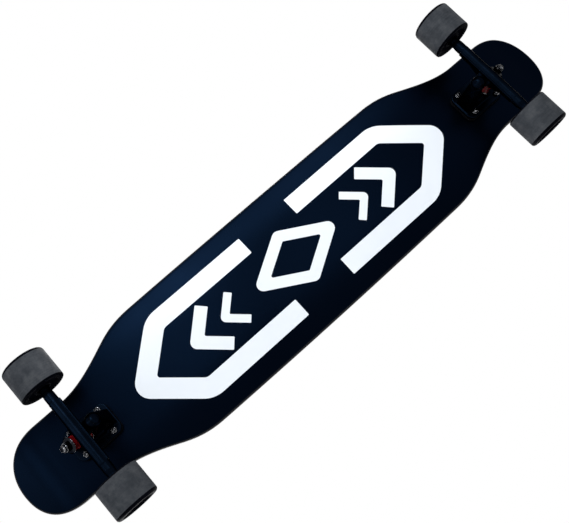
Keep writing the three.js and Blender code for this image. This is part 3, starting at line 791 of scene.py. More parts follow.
def skin_loops(bottom, top, inset, rim_round, rim_steps):
    """Each loop's share, inset and height, from the spine below, round the rim, to the spine above."""
    shares = [k / LOOPS_TO_RIM for k in range(LOOPS_TO_RIM)]
    rim = []
    for k in range(rim_steps + 1):
        angle = QUARTER_TURN * k / rim_steps
        rim.append((inset + rim_round * (1 - math.sin(angle)), rim_round * (1 - math.cos(angle))))
    loops = [(share, 0, bottom) for share in shares]
    loops += [(1, push, bottom + lift) for push, lift in rim]
    loops += [(1, push, top - lift) for push, lift in reversed(rim)]
    loops += [(share, 0, top) for share in reversed(shares)]
    return loops


def board_skin(bottom, top, inset, rim_round, rim_steps):
    """A sheet that follows the deck's curves, with rounded rims. Rim faces have material 1."""
    outline = whole_outline()
    bm = bmesh.new()
    ply = bm.verts.layers.float.new("ply")
    rows = []
    for share, push, height in skin_loops(bottom, top, inset, rim_round, rim_steps):
        row = [bm.verts.new(p) for p in outline_loop(outline, share, push, height)]
        for vert in row:
            vert[ply] = (height - bottom) / (top - bottom)
        rows.append(row)
    last_rim = len(rows) - LOOPS_TO_RIM - 1
    for k in range(len(rows) - 1):
        here, after = rows[k], rows[k + 1]
        for i in range(len(here)):
            j = (i + 1) % len(here)
            face = bm.faces.new((here[i], here[j], after[j], after[i]))
            face.material_index = 1 if LOOPS_TO_RIM <= k < last_rim else 0
    bmesh.ops.remove_doubles(bm, verts=bm.verts, dist=1e-3)
    bmesh.ops.dissolve_degenerate(bm, dist=1e-4, edges=bm.edges)
    bmesh.ops.recalc_face_normals(bm, faces=bm.faces)
    return bm


def bolt_spots():
    """Each truck bolt's name and its place in the truck frame."""
    for row, along in (("inner", -1), ("outer", 1)):
        for side, across in (("left", 1), ("right", -1)):
            yield f"{row}_{side}", along * BOLT_ALONG / 2 - PLATE_OFFSET, across * BOLT_ACROSS / 2


def bolt_hole():
    """The space of a countersunk bolt, which stands out on both sides of the deck."""
    shank = BOLT_RADIUS + HOLE_CLEARANCE
    head = BOLT_HEAD_RADIUS + HOLE_CLEARANCE
    top = DECK_TOP - SEAT_GAP
    below, above = DECK_BOTTOM - 2, DECK_TOP + 2
    profile = [
        (0, below),
        (shank, below),
        (shank, top - BOLT_HEAD_HEIGHT - HOLE_CLEARANCE),
        (head, top),
        (head, above),
        (0, above),
    ]
    return turned(profile, 32)


def drilled(sheet):
    """A sheet with the truck bolts' holes."""
    holes = []
    for sign in (1, -1):
        for _, x, y in bolt_spots():
            holes.append(moved(bolt_hole(), shift(sign * (AXLE_X + x), y)))
    return combined(to_mesh(sheet), [joined(holes)], "DIFFERENCE", closing=False)


def make_deck():
    body = drilled(board_skin(DECK_BOTTOM, DECK_BOTTOM + DECK_THICKNESS, 0, RIM_ROUND, RIM_STEPS))
    piece("board_deck", body, Matrix(), [LACQUER, PLY_EDGE], "board", "deck_lacquer", "deck")
    tape = drilled(board_skin(GRIP_BOTTOM, DECK_TOP, GRIP_INSET, GRIP_ROUND, 2))
    piece("grip_sheet", tape, Matrix(), [GRIT, GRIT], "board", "grip_grit", "grip_tape")


# ---- The print on the deck's underside ----
PRINT_THICKNESS = 0.12
PRINT_OVERLAP = 0.04
STROKE_END_ROUND = 1.5
ARROW_WIDTH = 34
ARROW_HALF = 72
ARROW_START = 52
ARROW_BEND = 252
ARROW_TIP = 332
# The outer and inner radius of a stroke's corners.
NO_ROUND = (0, 0)
BEND_ROUND = (48, 14)
TIP_ROUND = (26, 5)
# Each chevron's start, tip, half width, stroke width and rounding.
CHEVRONS = ((176, 221, 42, 22, (12, 3)), (128, 160, 30, 14, (9, 2)))
DIAMOND = ((78, 0), (0, 46), (-78, 0), (0, -46))
DIAMOND_WIDTH = 20
DIAMOND_ROUND = (12, 3)


def offset_path(path, distance, closed):
    """A path of (x, y, outer radius, inner radius) corners moved sideways, with its new side's radii."""
    edge = []
    count = len(path)
    for i, corner in enumerate(path):
        here = Vector(corner[:2])
        before = Vector(path[i - 1][:2]) if closed or i else None
        after = Vector(path[(i + 1) % count][:2]) if closed or i + 1 < count else None
        arrive = (here - before).normalized() if before is not None else (after - here).normalized()
        leave = (after - here).normalized() if after is not None else arrive
        normal = Vector((-arrive.y - leave.y, arrive.x + leave.x)).normalized()
        reach = distance / normal.dot(Vector((-arrive.y, arrive.x)))
        turns_left = arrive.x * leave.y - arrive.y * leave.x > 0
        outside = turns_left == (distance < 0)
        radius = corner[2] if outside else corner[3]
        place = here + normal * reach
        edge.append((place.x, place.y, radius))
    return edge


def stroke_solid(path, width, closed):
    """An upright prism of a stroke along a path."""
    low, high = DECK_BOTTOM - 5, DECK_BOTTOM + 15
    left = offset_path(path, width / 2, closed)
    right = offset_path(path, -width / 2, closed)
    if closed:
        middle = prism(rounded(left, steps=6), low - 1, high + 1)
        return cut(to_mesh(prism(rounded(right, steps=6), low, high)), middle)
    for side in (left, right):
        side[0] = (*side[0][:2], STROKE_END_ROUND)
        side[-1] = (*side[-1][:2], STROKE_END_ROUND)
    return to_mesh(prism(rounded(left + right[::-1], steps=10), low, high))


def mirror_stroke(half):
    """A stroke's corners up to its tip, and on along the other side."""
    return half + [(x, -y, *radii) for x, y, *radii in reversed(half[:-1])]


def print_shapes():
    """The strokes: two long arrow frames that point to the board's ends, chevrons and a diamond."""
    arrow = [
        (ARROW_START, ARROW_HALF, *NO_ROUND),
        (ARROW_BEND, ARROW_HALF, *BEND_ROUND),
        (ARROW_TIP, 0, *TIP_ROUND),
    ]
    strokes = [(arrow, ARROW_WIDTH)]
    for start, tip, half_width, width, radii in CHEVRONS:
        strokes.append(([(start, half_width, *NO_ROUND), (tip, 0, *radii)], width))
    shapes = []
    for sign in (1, -1):
        for half, width in strokes:
            path = [(sign * x, *rest) for x, *rest in mirror_stroke(half)]
            shapes.append((path, width, False))
    shapes.append(([(*corner, *DIAMOND_ROUND) for corner in DIAMOND], DIAMOND_WIDTH, True))
    return shapes


def make_print():
    """Each shape is cut from a thin layer that follows the deck's underside."""
    layer = to_mesh(board_skin(DECK_BOTTOM - PRINT_THICKNESS, DECK_BOTTOM + PRINT_OVERLAP, 0, 0.05, 1))
    for number, (path, width, closed) in enumerate(print_shapes()):
        stroke = to_bmesh(stroke_solid(path, width, closed))
        mesh = combined(layer.copy(), [stroke], "INTERSECT")
        piece(f"print_{number}", mesh, Matrix(), [PRINT_WHITE], "board", "deck_lacquer")


# ---- Nuts, bolts and threads ----
def thread(radius, start, end):
    """Profile points of a screw thread, from start to end along the axis."""
    points = []
    turns = max(1, round(abs(end - start) / THREAD_PITCH))
    pitch = (end - start) / turns
    for k in range(turns):
        points.append((radius, start + pitch * (k + 0.15)))
        points.append((radius - THREAD_DEPTH, start + pitch * (k + 0.5)))
        points.append((radius, start + pitch * (k + 0.85)))
    return points


def hexagon(across):
    corner = across / math.sqrt(3)
    angles = (math.pi / 3 * k for k in range(6))
    return [Vector((corner * math.cos(a), corner * math.sin(a))) for a in angles]


def chamfered_hexagon(across, bottom, top, chamfer):
    """A hexagon whose corners are turned down at both ends, as on a nut."""
    corner = across / math.sqrt(3) + 0.02
    fall = corner - across / 2 + 0.25
    rise = fall * chamfer
    profile = [
        (0, bottom),
        (corner - fall, bottom),
        (corner, bottom + rise),
        (corner, top - rise),
        (corner - fall, top),
        (0, top),
    ]
    return combined(to_mesh(prism(hexagon(across), bottom, top)), [turned(profile, 72)], "INTERSECT")


def nut_mesh(across, height, bore):
    """A lock nut from z = 0 up, with its collar at the far end."""
    body_top = NUT_BODY_SHARE * height
    foot = body_top - 0.4
    outer = NUT_COLLAR_SHARE * across
    inner = outer - NUT_COLLAR_WALL
    floor = height - NUT_COLLAR_DEPTH
    profile = [
        (bore + 0.6, foot),
        (outer, foot),
        (outer, height, 0.5),
        (inner, height, 0.3),
        (inner, floor),
        (bore + 0.6, floor),
    ]
    collar = turned(rounded(profile), closed=True)
    whole = combined(chamfered_hexagon(across, 0, body_top, 0.6), [collar], "UNION")
    return cut(whole, bar(bore, (0, 0, -1), (0, 0, height + 1), 40))


def nut_insert(across, height, bore):
    """The nylon ring in the lock nut's collar."""
    outer = NUT_COLLAR_SHARE * across - 1.2
    bottom = height - 0.65
    top = height - 0.2
    profile = [(bore, bottom), (outer, bottom), (outer, top, 0.2), (bore, top, 0.2)]
    return to_mesh(turned(rounded(profile), 40, closed=True))


def bolt_mesh():
    """A flat-headed bolt in the truck frame's heights, with a hexagonal socket."""
    head_top = DECK_TOP - WHEEL_RADIUS
    tip = BOLT_NUT_SEAT - BOLT_NUT_HEIGHT - BOLT_TAIL
    profile = [
        (0, tip),
        (BOLT_RADIUS - 0.5, tip),
        *thread(BOLT_RADIUS, tip + 0.5, BOLT_NUT_SEAT + 4),
        (BOLT_RADIUS, BOLT_NUT_SEAT + 5),
        (BOLT_RADIUS, head_top - BOLT_HEAD_HEIGHT),
        (BOLT_HEAD_RADIUS, head_top - SEAT_GAP),
        (BOLT_HEAD_RADIUS - 0.1, head_top),
        (0, head_top),
    ]
    socket = prism(hexagon(BOLT_SOCKET_ACROSS), head_top - BOLT_SOCKET_DEPTH, head_top + 1)
    return cut(to_mesh(turned(profile, 32)), socket)


def make_bolts(end):
    for name, x, y in bolt_spots():
        place = truck_place(end) @ shift(x, y)
        nut_place = place @ shift(z=BOLT_NUT_SEAT) @ FLIP
        rows = (
            (f"screw_{name}", BOLT, place, [BLACK_STEEL], "board", "black_steel", f"bolt_{name}"),
            (f"locknut_{name}", BOLT_NUT, nut_place, [BLACK_STEEL], "board", "black_steel", f"nut_{name}"),
            (f"insert_{name}", BOLT_NUT_INSERT, nut_place, [BLACK_PLASTIC], "board", "black_steel"),
        )
        make_pieces(end, rows)


# ---- Truck ----
# A bar that cuts stands out past the solid on each open side, by a plain number.
def plate(bottom, top, bevel):
    """A slab with the outline that the riser pad and the baseplate share."""
    half_length, half_width = PLATE_LENGTH / 2, PLATE_WIDTH / 2
    corners = [(-1, -1), (1, -1), (1, 1), (-1, 1)]
    outline = rounded([(sx * half_length, sy * half_width, PLATE_CORNER) for sx, sy in corners], steps=10)
    return moved(prism(outline, bottom, top, bevel), shift(-PLATE_OFFSET))


def bolt_bores(bottom, top):
    radius = BOLT_RADIUS + HOLE_CLEARANCE
    return [bar(radius, (x, y, bottom), (x, y, top), 32) for _, x, y in bolt_spots()]


def riser_mesh():
    """The riser pad, with a window over the kingpin's head."""
    bottom = TRUCK_HEIGHT + SEAT_GAP
    top = bottom + RISER_THICKNESS
    head_lift = SEAT_DISTANCE + KINGPIN_HEAD_DEPTH + KINGPIN_HEAD_HEIGHT
    head_x = RING_CENTRE.x - math.sin(STEERING_ANGLE) * head_lift
    window = bar(KINGPIN_CORNER + 1, (head_x, 0, bottom - 1), (head_x, 0, top + 1))
    return cut(to_mesh(plate(bottom, top, 0.5)), window, *bolt_bores(bottom - 1, top + 1))


def seat_block(outer_edge, inner_edge):
    """The block that carries the upper washer on its slanted face."""
    back = inner_edge.x - SEAT_BLOCK_DEPTH
    corners = [
        (outer_edge.x, outer_edge.z),
        (outer_edge.x, PLATE_INSIDE),
        (back, PLATE_INSIDE),
        (back, inner_edge.z),
        (inner_edge.x, inner_edge.z),
    ]
    return side_plate(corners, SEAT_BLOCK_WIDTH)


def plate_leg(inner_edge):
    """The leg between the seat, the plate and the pivot housing."""
    end = -PLATE_OFFSET - PLATE_LENGTH / 2 + LEG_END_INSET
    corners = (
        (inner_edge.x, inner_edge.z),
        (inner_edge.x, PLATE_INSIDE),
        (end, PLATE_INSIDE),
        (end, PLATE_BOTTOM - LEG_END_HEIGHT),
    )
    points = [Vector((x, y, z)) for y in (LEG_WIDTH / 2, -LEG_WIDTH / 2) for x, z in corners]
    radius = HOUSING_RADIUS - 0.4
    # It ends inside the housing: on the top of its rim, and on the upper half of its back.
    for along, least in ((HOUSING_RIM, 0.75), (-HOUSING_BACK - PIVOT_REACH + 6, 0)):
        centre = steering_point(along, 0)
        ring = disc_points(centre, radius, KINGPIN_AXIS, (0, 1, 0), 32)
        points += [p for p in ring if (p - centre).dot(KINGPIN_AXIS) > least * radius - 0.01]
    return hull(points)


def pivot_housing():
    """The round housing of the pivot cup, with a domed back."""
    radius = HOUSING_RADIUS
    length = HOUSING_RIM + HOUSING_BACK + PIVOT_REACH
    dome = [(0, 0), (radius - 5, 1, 5), (radius, 8, 7), (radius, length), (0, length)]
    back = shift(-HOUSING_BACK - PIVOT_REACH) @ ALONG_X
    return moved(turned(rounded(dome, closed=False)), STEERING @ back)


def baseplate_mesh():
    outer_edge = steering_point(WASHER_RADIUS + 1, SEAT_DISTANCE)
    inner_edge = steering_point(-WASHER_RADIUS - 1, SEAT_DISTANCE)
    solids = [
        plate(PLATE_BOTTOM, TRUCK_HEIGHT, 0.8),
        seat_block(outer_edge, inner_edge),
        plate_leg(inner_edge),
        pivot_housing(),
    ]
    cup_space = PIVOT_PIN_RADIUS + 3 * CUP_CLEARANCE + PIVOT_CUP_WALL
    cup_end = HOUSING_RIM - CUP_DEPTH - SEAT_GAP
    pocket_floor = SEAT_DISTANCE + KINGPIN_HEAD_DEPTH - SEAT_GAP
    return cut(
        cast(solids, voxel=0.75, softening=5),
        steering_bar(WASHER_RADIUS + 8, SEAT_DISTANCE - 12, SEAT_DISTANCE, 64),
        moved(bar(cup_space, (HOUSING_RIM + 10, 0, 0), (cup_end, 0, 0)), STEERING),
        steering_bar(KINGPIN_RADIUS + HOLE_CLEARANCE, SEAT_DISTANCE - 10, SEAT_DISTANCE + 30),
        steering_bar(KINGPIN_CORNER + 0.7, pocket_floor, SEAT_DISTANCE + 60),
        *bolt_bores(PLATE_BOTTOM - 4, TRUCK_HEIGHT + 1),
    )


def bar_section():
    """The hanger bar's section: round, with a groove and a straight rib along its inner side."""
    edge = -BAR_RADIUS - BAR_FLANGE
    start = math.radians(-112)
    sweep = math.radians(268)
    steps = 44
    angles = [start + sweep * k / steps for k in range(steps + 1)]
    arc = [(BAR_RADIUS * math.cos(a), BAR_RADIUS * math.sin(a)) for a in angles]
    rib = [(edge, 3.5), (edge, -6.8), (edge + 2.3, -6.8), (edge + 3.0, -3.6), (edge + 5.2, -4.4)]
    return arc + rib


def hanger_bar():
    """The bar's ribbed middle, and a round journal towards each wheel."""
    middle = BAR_RADIUS - 0.3
    cone_start = HANGER_HALF - JOURNAL_LENGTH + 6
    cone_end = cone_start + 8
    profile = [
        (0, 0),
        (middle, 0),
        (middle, cone_start),
        (JOURNAL_RADIUS, cone_end),
        (JOURNAL_RADIUS, HANGER_HALF),
        (0, HANGER_HALF),
    ]
    journals = [moved(turned(profile), Matrix.Rotation(side * QUARTER_TURN, 4, "X")) for side in (1, -1)]
    return [side_plate(bar_section(), 2 * RIB_HALF), *journals]


def hanger_ring():
    """The ring round the kingpin, and the web between it and the bar."""
    discs = []
    for lift in (-RING_THICKNESS / 2, RING_THICKNESS / 2):
        discs += disc_points(steering_point(0, lift), RING_RADIUS, STEER_AXIS, (0, 1, 0), 48)
    inner_half = [p for p in discs if (p - RING_CENTRE).dot(STEER_AXIS) < 0.1]
    web_ends = []
    for y in (WEB_HALF_WIDTH, -WEB_HALF_WIDTH):
        centre = Vector((0, y, 0)) + KINGPIN_AXIS * WEB_LIFT
        web_ends += disc_points(centre, WEB_THICKNESS / 2, (1, 0, 0), (0, 0, 1))
    return [hull(discs), hull(web_ends + inner_half)]


def hanger_pivot():
    """The pivot pin, and its root on the bar."""
    root_centre = steering_point(HOUSING_RIM + 4, 0)
    root_ends = []
    for y in (PIVOT_ROOT_RADIUS + 6, -PIVOT_ROOT_RADIUS - 6):
        root_ends += disc_points((0, y, 0), BAR_RADIUS - 1, (1, 0, 0), (0, 0, 1))
    root = hull(root_ends + disc_points(root_centre, PIVOT_ROOT_RADIUS, KINGPIN_AXIS, (0, 1, 0)))
    tip = -PIVOT_REACH - PIVOT_PIN_REACH
    end = HOUSING_RIM + 5
    tip_radius, taper = 3.2, 3
    radius = PIVOT_PIN_RADIUS
    profile = [(0, tip), (tip_radius, tip), (radius, tip + taper), (radius, end), (0, end)]
    return [root, moved(turned(profile), STEERING @ ALONG_X)]


def hanger_mesh():
    body = cast([*hanger_bar(), *hanger_ring(), *hanger_pivot()], voxel=0.6, softening=4)
    seats = [steering_bar(BUSHING_RADIUS + 1, side * RING_SEAT, side * 30) for side in (1, -1)]
    bore = bar(AXLE_RADIUS + 0.1, (0, -HANGER_HALF - 5, 0), (0, HANGER_HALF + 5, 0))
    ends = [bar(20, (0, side * HANGER_HALF, 0), (0, side * (HANGER_HALF + 8), 0)) for side in (1, -1)]
    return cut(body, steering_bar(RING_HOLE_RADIUS, -30, 30), *seats, bore, *ends)


def pivot_cup_mesh():
    inner = PIVOT_PIN_RADIUS + CUP_CLEARANCE
    outer = inner + PIVOT_CUP_WALL
    profile = [
        (0, -CUP_DEPTH),
        (outer, -CUP_DEPTH, 0.6),
        (outer, 0, 0.7),
        (inner, 0, 0.7),
        (inner, -CUP_INNER_DEPTH),
        (0, -CUP_INNER_DEPTH),
    ]
    cup = moved(turned(rounded(profile, closed=False)), ALONG_X)
    return to_mesh(moved(cup, shift(HOUSING_RIM)))


def kingpin_mesh():
    head_bottom = SEAT_DISTANCE + KINGPIN_HEAD_DEPTH
    tail = -SEAT_DISTANCE - KINGPIN_NUT_HEIGHT - KINGPIN_TAIL
    profile = [(0, tail), (KINGPIN_RADIUS - 1, tail), (KINGPIN_RADIUS - 0.3, tail + 0.8)]
    profile += thread(KINGPIN_RADIUS, tail + 1, -SEAT_DISTANCE + 2)
    profile += [(KINGPIN_RADIUS, -SEAT_DISTANCE + 3), (KINGPIN_RADIUS, head_bottom + 1), (0, head_bottom + 1)]
    head = chamfered_hexagon(KINGPIN_ACROSS, head_bottom, head_bottom + KINGPIN_HEAD_HEIGHT, 0.5)
    return combined(head, [turned(profile, 40)], "UNION")


def washer_mesh():
    """A cupped washer in the steering frame's axis, seat at z = 0 and lip up."""
    bore = KINGPIN_RADIUS + HOLE_CLEARANCE
    height = WASHER_THICKNESS + WASHER_LIP
    profile = [
        (bore, 0, 0.3),
        (WASHER_RADIUS - 1.8, 0, 1.2),
        (WASHER_RADIUS + 1.3, height, 0.5),
        (WASHER_RADIUS - 0.1, height, 0.4),
        (WASHER_RADIUS - 1.6, WASHER_THICKNESS, 0.4),
        (bore, WASHER_THICKNESS, 0.3),
    ]
    return to_mesh(turned(rounded(profile), 64, closed=True))


def bushing_mesh():
    bore = KINGPIN_RADIUS + HOLE_CLEARANCE
    half = BUSHING_HEIGHT / 2
    shoulder = 1.2
    steps = 10
    wall = []
    for k in range(steps + 1):
        height = shoulder + (BUSHING_HEIGHT - 2 * shoulder) * k / steps
        waist = (BUSHING_RADIUS - BUSHING_WAIST) * (1 - ((height - half) / (half - shoulder)) ** 2)
        wall.append((BUSHING_RADIUS - waist, height))
    edge, top = BUSHING_RADIUS - 1, BUSHING_HEIGHT
    profile = [(bore, 0, 0.4), (edge, 0, 0.6), *wall, (edge, top, 0.6), (bore, top, 0.4)]
    rows = 14
    inside = [(bore, BUSHING_HEIGHT * (rows - k) / rows) for k in range(1, rows)]
    return to_mesh(turned(rounded(profile) + [Vector(p) for p in inside], 64, closed=True))


def axle_mesh():
    profile = [(0, -AXLE_HALF), (AXLE_RADIUS - 1, -AXLE_HALF), (AXLE_RADIUS - 0.2, -AXLE_HALF + 0.8)]
    thread_end = AXLE_NUT_START - 1
    profile += thread(AXLE_RADIUS, -AXLE_HALF + 1, -thread_end)
    profile += [(AXLE_RADIUS, -thread_end + 1), (AXLE_RADIUS, thread_end - 1)]
    profile += thread(AXLE_RADIUS, thread_end, AXLE_HALF - 1)
    profile += [(AXLE_RADIUS - 0.2, AXLE_HALF - 0.8), (AXLE_RADIUS - 1, AXLE_HALF), (0, AXLE_HALF)]
    return to_mesh(moved(turned(profile, 40), Matrix.Rotation(-QUARTER_TURN, 4, "X")))


def make_bushings(end, steering):
    """Two bushings with their washers. The washers stay with the board, and the bushings are tied to no body.
    """
    ring_face = RING_SEAT + SEAT_GAP
    for label, sign in (("boardside", 1), ("roadside", -1)):
        outward, inward = (Matrix(), FLIP) if sign > 0 else (FLIP, Matrix())
        where = f"{end}_{label}"
        place = steering @ shift(z=sign * (SEAT_DISTANCE - SEAT_GAP)) @ inward
        piece(f"{where}_cup_washer", WASHER, place, [BLACK_STEEL], "board", "black_steel", f"{where}_washer")
        place = steering @ shift(z=sign * ring_face) @ outward
        red = [RED_URETHANE]
        bushing = piece(f"{where}_bush", BUSHING, place, red, None, "red_urethane", f"{where}_bushing")
        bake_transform(bushing)


def make_truck(end):
    place = truck_place(end)
    steering = place @ STEERING
    nut_place = steering @ shift(z=-SEAT_DISTANCE) @ FLIP
    hanger_set = f"{end}_hanger_set"
    plastic, steel_black, castings = [BLACK_PLASTIC], [BLACK_STEEL], [CASTING]
    rows = (
        ("riser", RISER, place, plastic, "board", "black_plastic", "riser_pad"),
        ("base_casting", BASEPLATE, place, castings, "board", "black_metal", "baseplate"),
        ("hanger_casting", HANGER, place, castings, hanger_set, "black_metal", "hanger"),
        ("axle_rod", AXLE, place, [ZINC], hanger_set, "steel", "axle"),
        ("pivot_bush", PIVOT_CUP, steering, plastic, "board", "black_plastic", "pivot_cup"),
        ("kingpin_bolt", KINGPIN, steering, steel_black, "board", "black_steel", "kingpin"),
        ("kingpin_locknut", KINGPIN_NUT, nut_place, steel_black, "board", "black_steel", "kingpin_nut"),
        ("kingpin_insert", KINGPIN_NUT_INSERT, nut_place, plastic, "board", "black_steel"),
    )
    make_pieces(end, rows)
    make_bushings(end, steering)
    make_bolts(end)


# ---- Wheels ----
def wheel_mesh():
    seat = BEARING_RADIUS + 0.05
    inner, outer = WHEEL_INNER, WHEEL_OUTER
    tread = WHEEL_RADIUS
    lip = tread - 8.5
    seat_one_end = INNER_BEARING_START + BEARING_WIDTH + SEAT_GAP
    seat_two_start = OUTER_BEARING_START - SEAT_GAP
    seat_two_end = OUTER_BEARING_START + BEARING_WIDTH
    corners = [
        (seat, inner + 1.2),
        (seat + 3.2, inner + 1.2, 0.5),
        (seat + 4.2, inner + 3.4, 0.8),
        (lip - 3.6, inner + 3.4, 1.2),
        (lip - 1.2, inner + 0.2, 1.2),
        (tread, inner, INNER_LIP_ROUND),
        (tread, outer, OUTER_LIP_ROUND),
        (lip, outer, 1.5),
        (lip - 5, outer - 6, 3),
        (seat + 4.6, seat_two_end + 3.2, 2.5),
        (seat + 2.4, seat_two_end + 0.8, 0.6),
        (seat, seat_two_end + 0.8),
        (seat, seat_two_start),
        (CORE_RADIUS, seat_two_start),
        (CORE_RADIUS, seat_one_end),
        (seat, seat_one_end),
    ]

    def off_tread(here, after):
        return min(here.x, after.x) <= tread - 0.02

    return to_mesh(turned(rounded(corners, steps=5), 128, closed=True, is_second=off_tread))


def bearing_mesh():
    """A ball bearing from z = 0 up: two races (material 0) and a shield on each face (material 1)."""
    inner_race = 6.6
    outer_race = 9.3
    shield = 0.35
    half = [
        (BEARING_BORE, 0, 0.3),
        (inner_race, 0, 0.15),
        (inner_race, shield),
        (outer_race, shield),
        (outer_race, 0, 0.15),
        (BEARING_RADIUS, 0, 0.4),
    ]
    races = half + [(radius, BEARING_WIDTH - height, *rest) for radius, height, *rest in reversed(half)]

    def on_shield(here, after):
        flat = abs(here.y - after.y) < 1e-6
        recessed = shield - 0.01 < here.y < BEARING_WIDTH - shield + 0.01
        return flat and recessed and abs(here.x - after.x) > 1

    return to_mesh(turned(rounded(races, steps=3), 64, closed=True, is_second=on_shield))


def spacer_mesh():
    bore = AXLE_RADIUS + HOLE_CLEARANCE
    profile = [(bore, 0), (SPACER_RADIUS, 0, 0.3), (SPACER_RADIUS, SPACER_LENGTH, 0.3), (bore, SPACER_LENGTH)]
    return to_mesh(turned(rounded(profile), 40, closed=True))


def make_wheel(end, side):
    label = f"{end}_{side}"
    wheel_set, hanger_set = f"{label}_wheel_set", f"{end}_hanger_set"
    place = wheel_place(end, side)
    inner, spacer, outer, nut = (place @ shift(z=start) for start in WHEEL_STARTS)
    bearing = [RACE_STEEL, BLACK_PLASTIC]
    rows = (
        ("tyre", WHEEL, place, [TREAD, WHEEL_SIDE], wheel_set, "grey_urethane", "wheel"),
        ("inner_ball_bearing", BEARING, inner, bearing, wheel_set, "steel", "inner_bearing"),
        ("outer_ball_bearing", BEARING, outer, bearing, wheel_set, "steel", "outer_bearing"),
        ("sleeve", SPACER, spacer, [RACE_STEEL], wheel_set, "steel", "spacer"),
        ("locknut", AXLE_NUT, nut, [ZINC], hanger_set, "steel", "axle_nut"),
        ("nut_insert", AXLE_NUT_INSERT, nut, [NYLON], hanger_set, "steel"),
    )
    make_pieces(label, rows)


# ---- Shapes used more than once ----
BOLT = bolt_mesh()
BOLT_NUT_SIZE = (BOLT_NUT_ACROSS, BOLT_NUT_HEIGHT, BOLT_RADIUS + NUT_BORE_GAP)
BOLT_NUT = nut_mesh(*BOLT_NUT_SIZE)
BOLT_NUT_INSERT = nut_insert(*BOLT_NUT_SIZE)
KINGPIN_NUT_SIZE = (KINGPIN_ACROSS, KINGPIN_NUT_HEIGHT, KINGPIN_RADIUS + NUT_BORE_GAP)
KINGPIN_NUT = nut_mesh(*KINGPIN_NUT_SIZE)
KINGPIN_NUT_INSERT = nut_insert(*KINGPIN_NUT_SIZE)
AXLE_NUT_SIZE = (AXLE_NUT_ACROSS, AXLE_NUT_HEIGHT, AXLE_RADIUS + NUT_BORE_GAP)
AXLE_NUT = nut_mesh(*AXLE_NUT_SIZE)
AXLE_NUT_INSERT = nut_insert(*AXLE_NUT_SIZE)
RISER = riser_mesh()
BASEPLATE = baseplate_mesh()
HANGER = hanger_mesh()
PIVOT_CUP = pivot_cup_mesh()
KINGPIN = kingpin_mesh()
WASHER = washer_mesh()
BUSHING = bushing_mesh()
AXLE = axle_mesh()
WHEEL = wheel_mesh()
BEARING = bearing_mesh()
SPACER = spacer_mesh()

make_deck()
make_print()
for end_name in ENDS:
    make_truck(end_name)
    for side_name in SIDES:
        make_wheel(end_name, side_name)


# ---- Floor, light and camera ----
FLOOR_FADE = 0.7
FLOOR_END = 2.6
FLOOR_COLOUR = (0.82, 0.82, 0.82, 1)
SOFT_COLOUR = (0.92, 0.96, 1.0, 1)
SOFT_STRENGTH = 0.14


def either(tree, first, second):
    """The larger of two values: whether one or the other is true."""
    return added(tree, "Math", "Value", {0: first, 1: second}, operation="MAXIMUM")


def make_floor():
    """A pale floor that fades into the white far out, and can't be seen from below."""
    bm = bmesh.new()
    bmesh.ops.create_grid(bm, x_segments=1, y_segments=1, size=FLOOR_END)
    mesh = to_mesh(bm)
    floor = scratch_object(mesh)
    floor.name = "floor"
    material = bpy.data.materials.new("pale_floor")
    material.use_nodes = True
    tree = material.node_tree
    surface = tree.nodes["Principled BSDF"]
    surface.inputs["Base Color"].default_value = FLOOR_COLOUR
    surface.inputs["Roughness"].default_value = 0.8
    place = added(tree, "TexCoord", "Object")
    distance = added(tree, "VectorMath", "Value", {0: place}, operation="LENGTH")
    reach = {"Value": distance, "From Min": FLOOR_FADE, "From Max": FLOOR_END}
    fade = added(tree, "MapRange", "Result", reach, interpolation_type="SMOOTHSTEP")
    hidden = either(tree, added(tree, "NewGeometry", "Backfacing"), fade)
    clear = added(tree, "BsdfTransparent", "BSDF")
    shown = added(tree, "MixShader", "Shader", {0: hidden, 1: surface.outputs["BSDF"], 2: clear})
    tree.links.new(shown, tree.nodes["Material Output"].inputs["Surface"])
    mesh.materials.append(material)
    floor.visible_shadow = False
    floor.visible_glossy = False


def make_world():
    """White where the camera, gloss and glass look, and a soft pale blue as light."""
    world = bpy.data.worlds.new("studio")
    world.use_nodes = True
    bpy.context.scene.world = world
    tree = world.node_tree
    backdrop = tree.nodes["Background"]
    backdrop.inputs["Color"].default_value = (1, 1, 1, 1)
    backdrop.inputs["Strength"].default_value = 1.0
    soft = added(tree, "Background", "Background", {"Color": SOFT_COLOUR, "Strength": SOFT_STRENGTH})
    ray = added(tree, "LightPath", "Is Camera Ray").node.outputs
    seen = either(tree, ray["Is Camera Ray"], ray["Is Glossy Ray"])
    seen = either(tree, seen, ray["Is Transmission Ray"])
    light = added(tree, "MixShader", "Shader", {0: seen, 1: soft, 2: backdrop.outputs["Background"]})
    tree.links.new(light, tree.nodes["World Output"].inputs["Surface"])


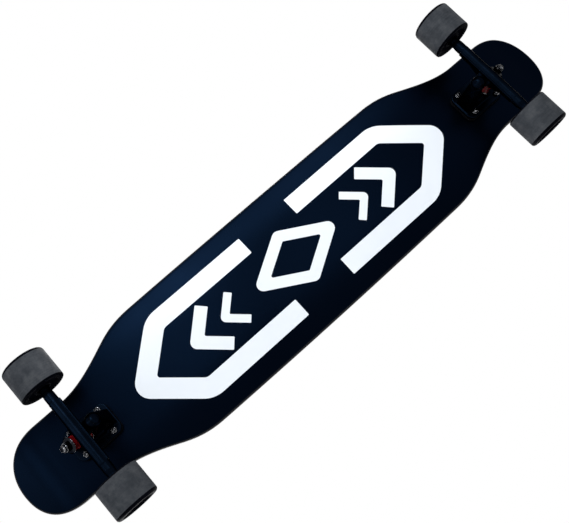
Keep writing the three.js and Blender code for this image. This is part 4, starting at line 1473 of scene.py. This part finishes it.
def area_lamp(name, place, aim, size, power, colour):
    data = bpy.data.lights.new(name, "AREA")
    data.shape = "DISK"
    data.size = size
    data.energy = power
    data.color = colour
    lamp = bpy.data.objects.new(name, data)
    bpy.context.scene.collection.objects.link(lamp)
    lamp.location = place
    lamp.rotation_euler = (aim - place).to_track_quat("-Z", "Y").to_euler()


LAMP_DISTANCE = 2.2
BOARD_MIDDLE = Vector((0, 0, 0.12))
WHITE = (1, 1, 1)
COOL = (0.94, 0.975, 1.0)


def make_lamps():
    for name, direction, size, power, colour in (
        ("key_above", (0.38, -0.46, 0.80), 1.4, 38, WHITE),
        ("fill_above", (-0.58, 0.45, 0.68), 1.6, 22, WHITE),
        ("sheen_rear", (-0.06, -0.62, -1), 0.66, 18, COOL),
        ("sheen_front", (0.38, -0.62, -1), 0.66, 10, COOL),
        ("sheen_middle", (-0.09, -0.27, -1), 0.56, 6.4, COOL),
        ("sheen_neck", (0.28, -0.15, -1), 0.5, 3, COOL),
        ("sheen_kick", (-0.62, -0.2, -1), 0.56, 2.2, COOL),
        ("sheen_tip", (-1.28, -0.25, -1), 0.6, 3.6, COOL),
        ("sheen_low", (-2.75, -0.58, -1), 0.5, 2.2, COOL),
        ("fill_below", (0.25, 0.85, -0.47), 1.2, 3, COOL),
        ("glint_below", (0.2, 0.8, -1), 0.12, 2, COOL),
    ):
        place = BOARD_MIDDLE + LAMP_DISTANCE * Vector(direction).normalized()
        area_lamp(name, place, BOARD_MIDDLE, size, power, colour)


def make_camera():
    data = bpy.data.cameras.new("photo_camera")
    data.sensor_fit = "HORIZONTAL"
    data.sensor_width = SENSOR_WIDTH
    data.lens = FOCAL_PIXELS / PHOTO_WIDTH * SENSOR_WIDTH
    data.clip_start = 0.01
    camera = bpy.data.objects.new("photo_camera", data)
    bpy.context.scene.collection.objects.link(camera)
    right = CAMERA_FORWARD.cross(CAMERA_UP).normalized()
    up = right.cross(CAMERA_FORWARD).normalized()
    axes = Matrix((right, up, -CAMERA_FORWARD.normalized())).transposed()
    camera.matrix_world = Matrix.Translation(CAMERA_PLACE) @ axes.to_4x4()
    bpy.context.scene.camera = camera


make_floor()
make_world()
make_lamps()
make_camera()
bpy.context.scene.view_settings.view_transform = "Standard"
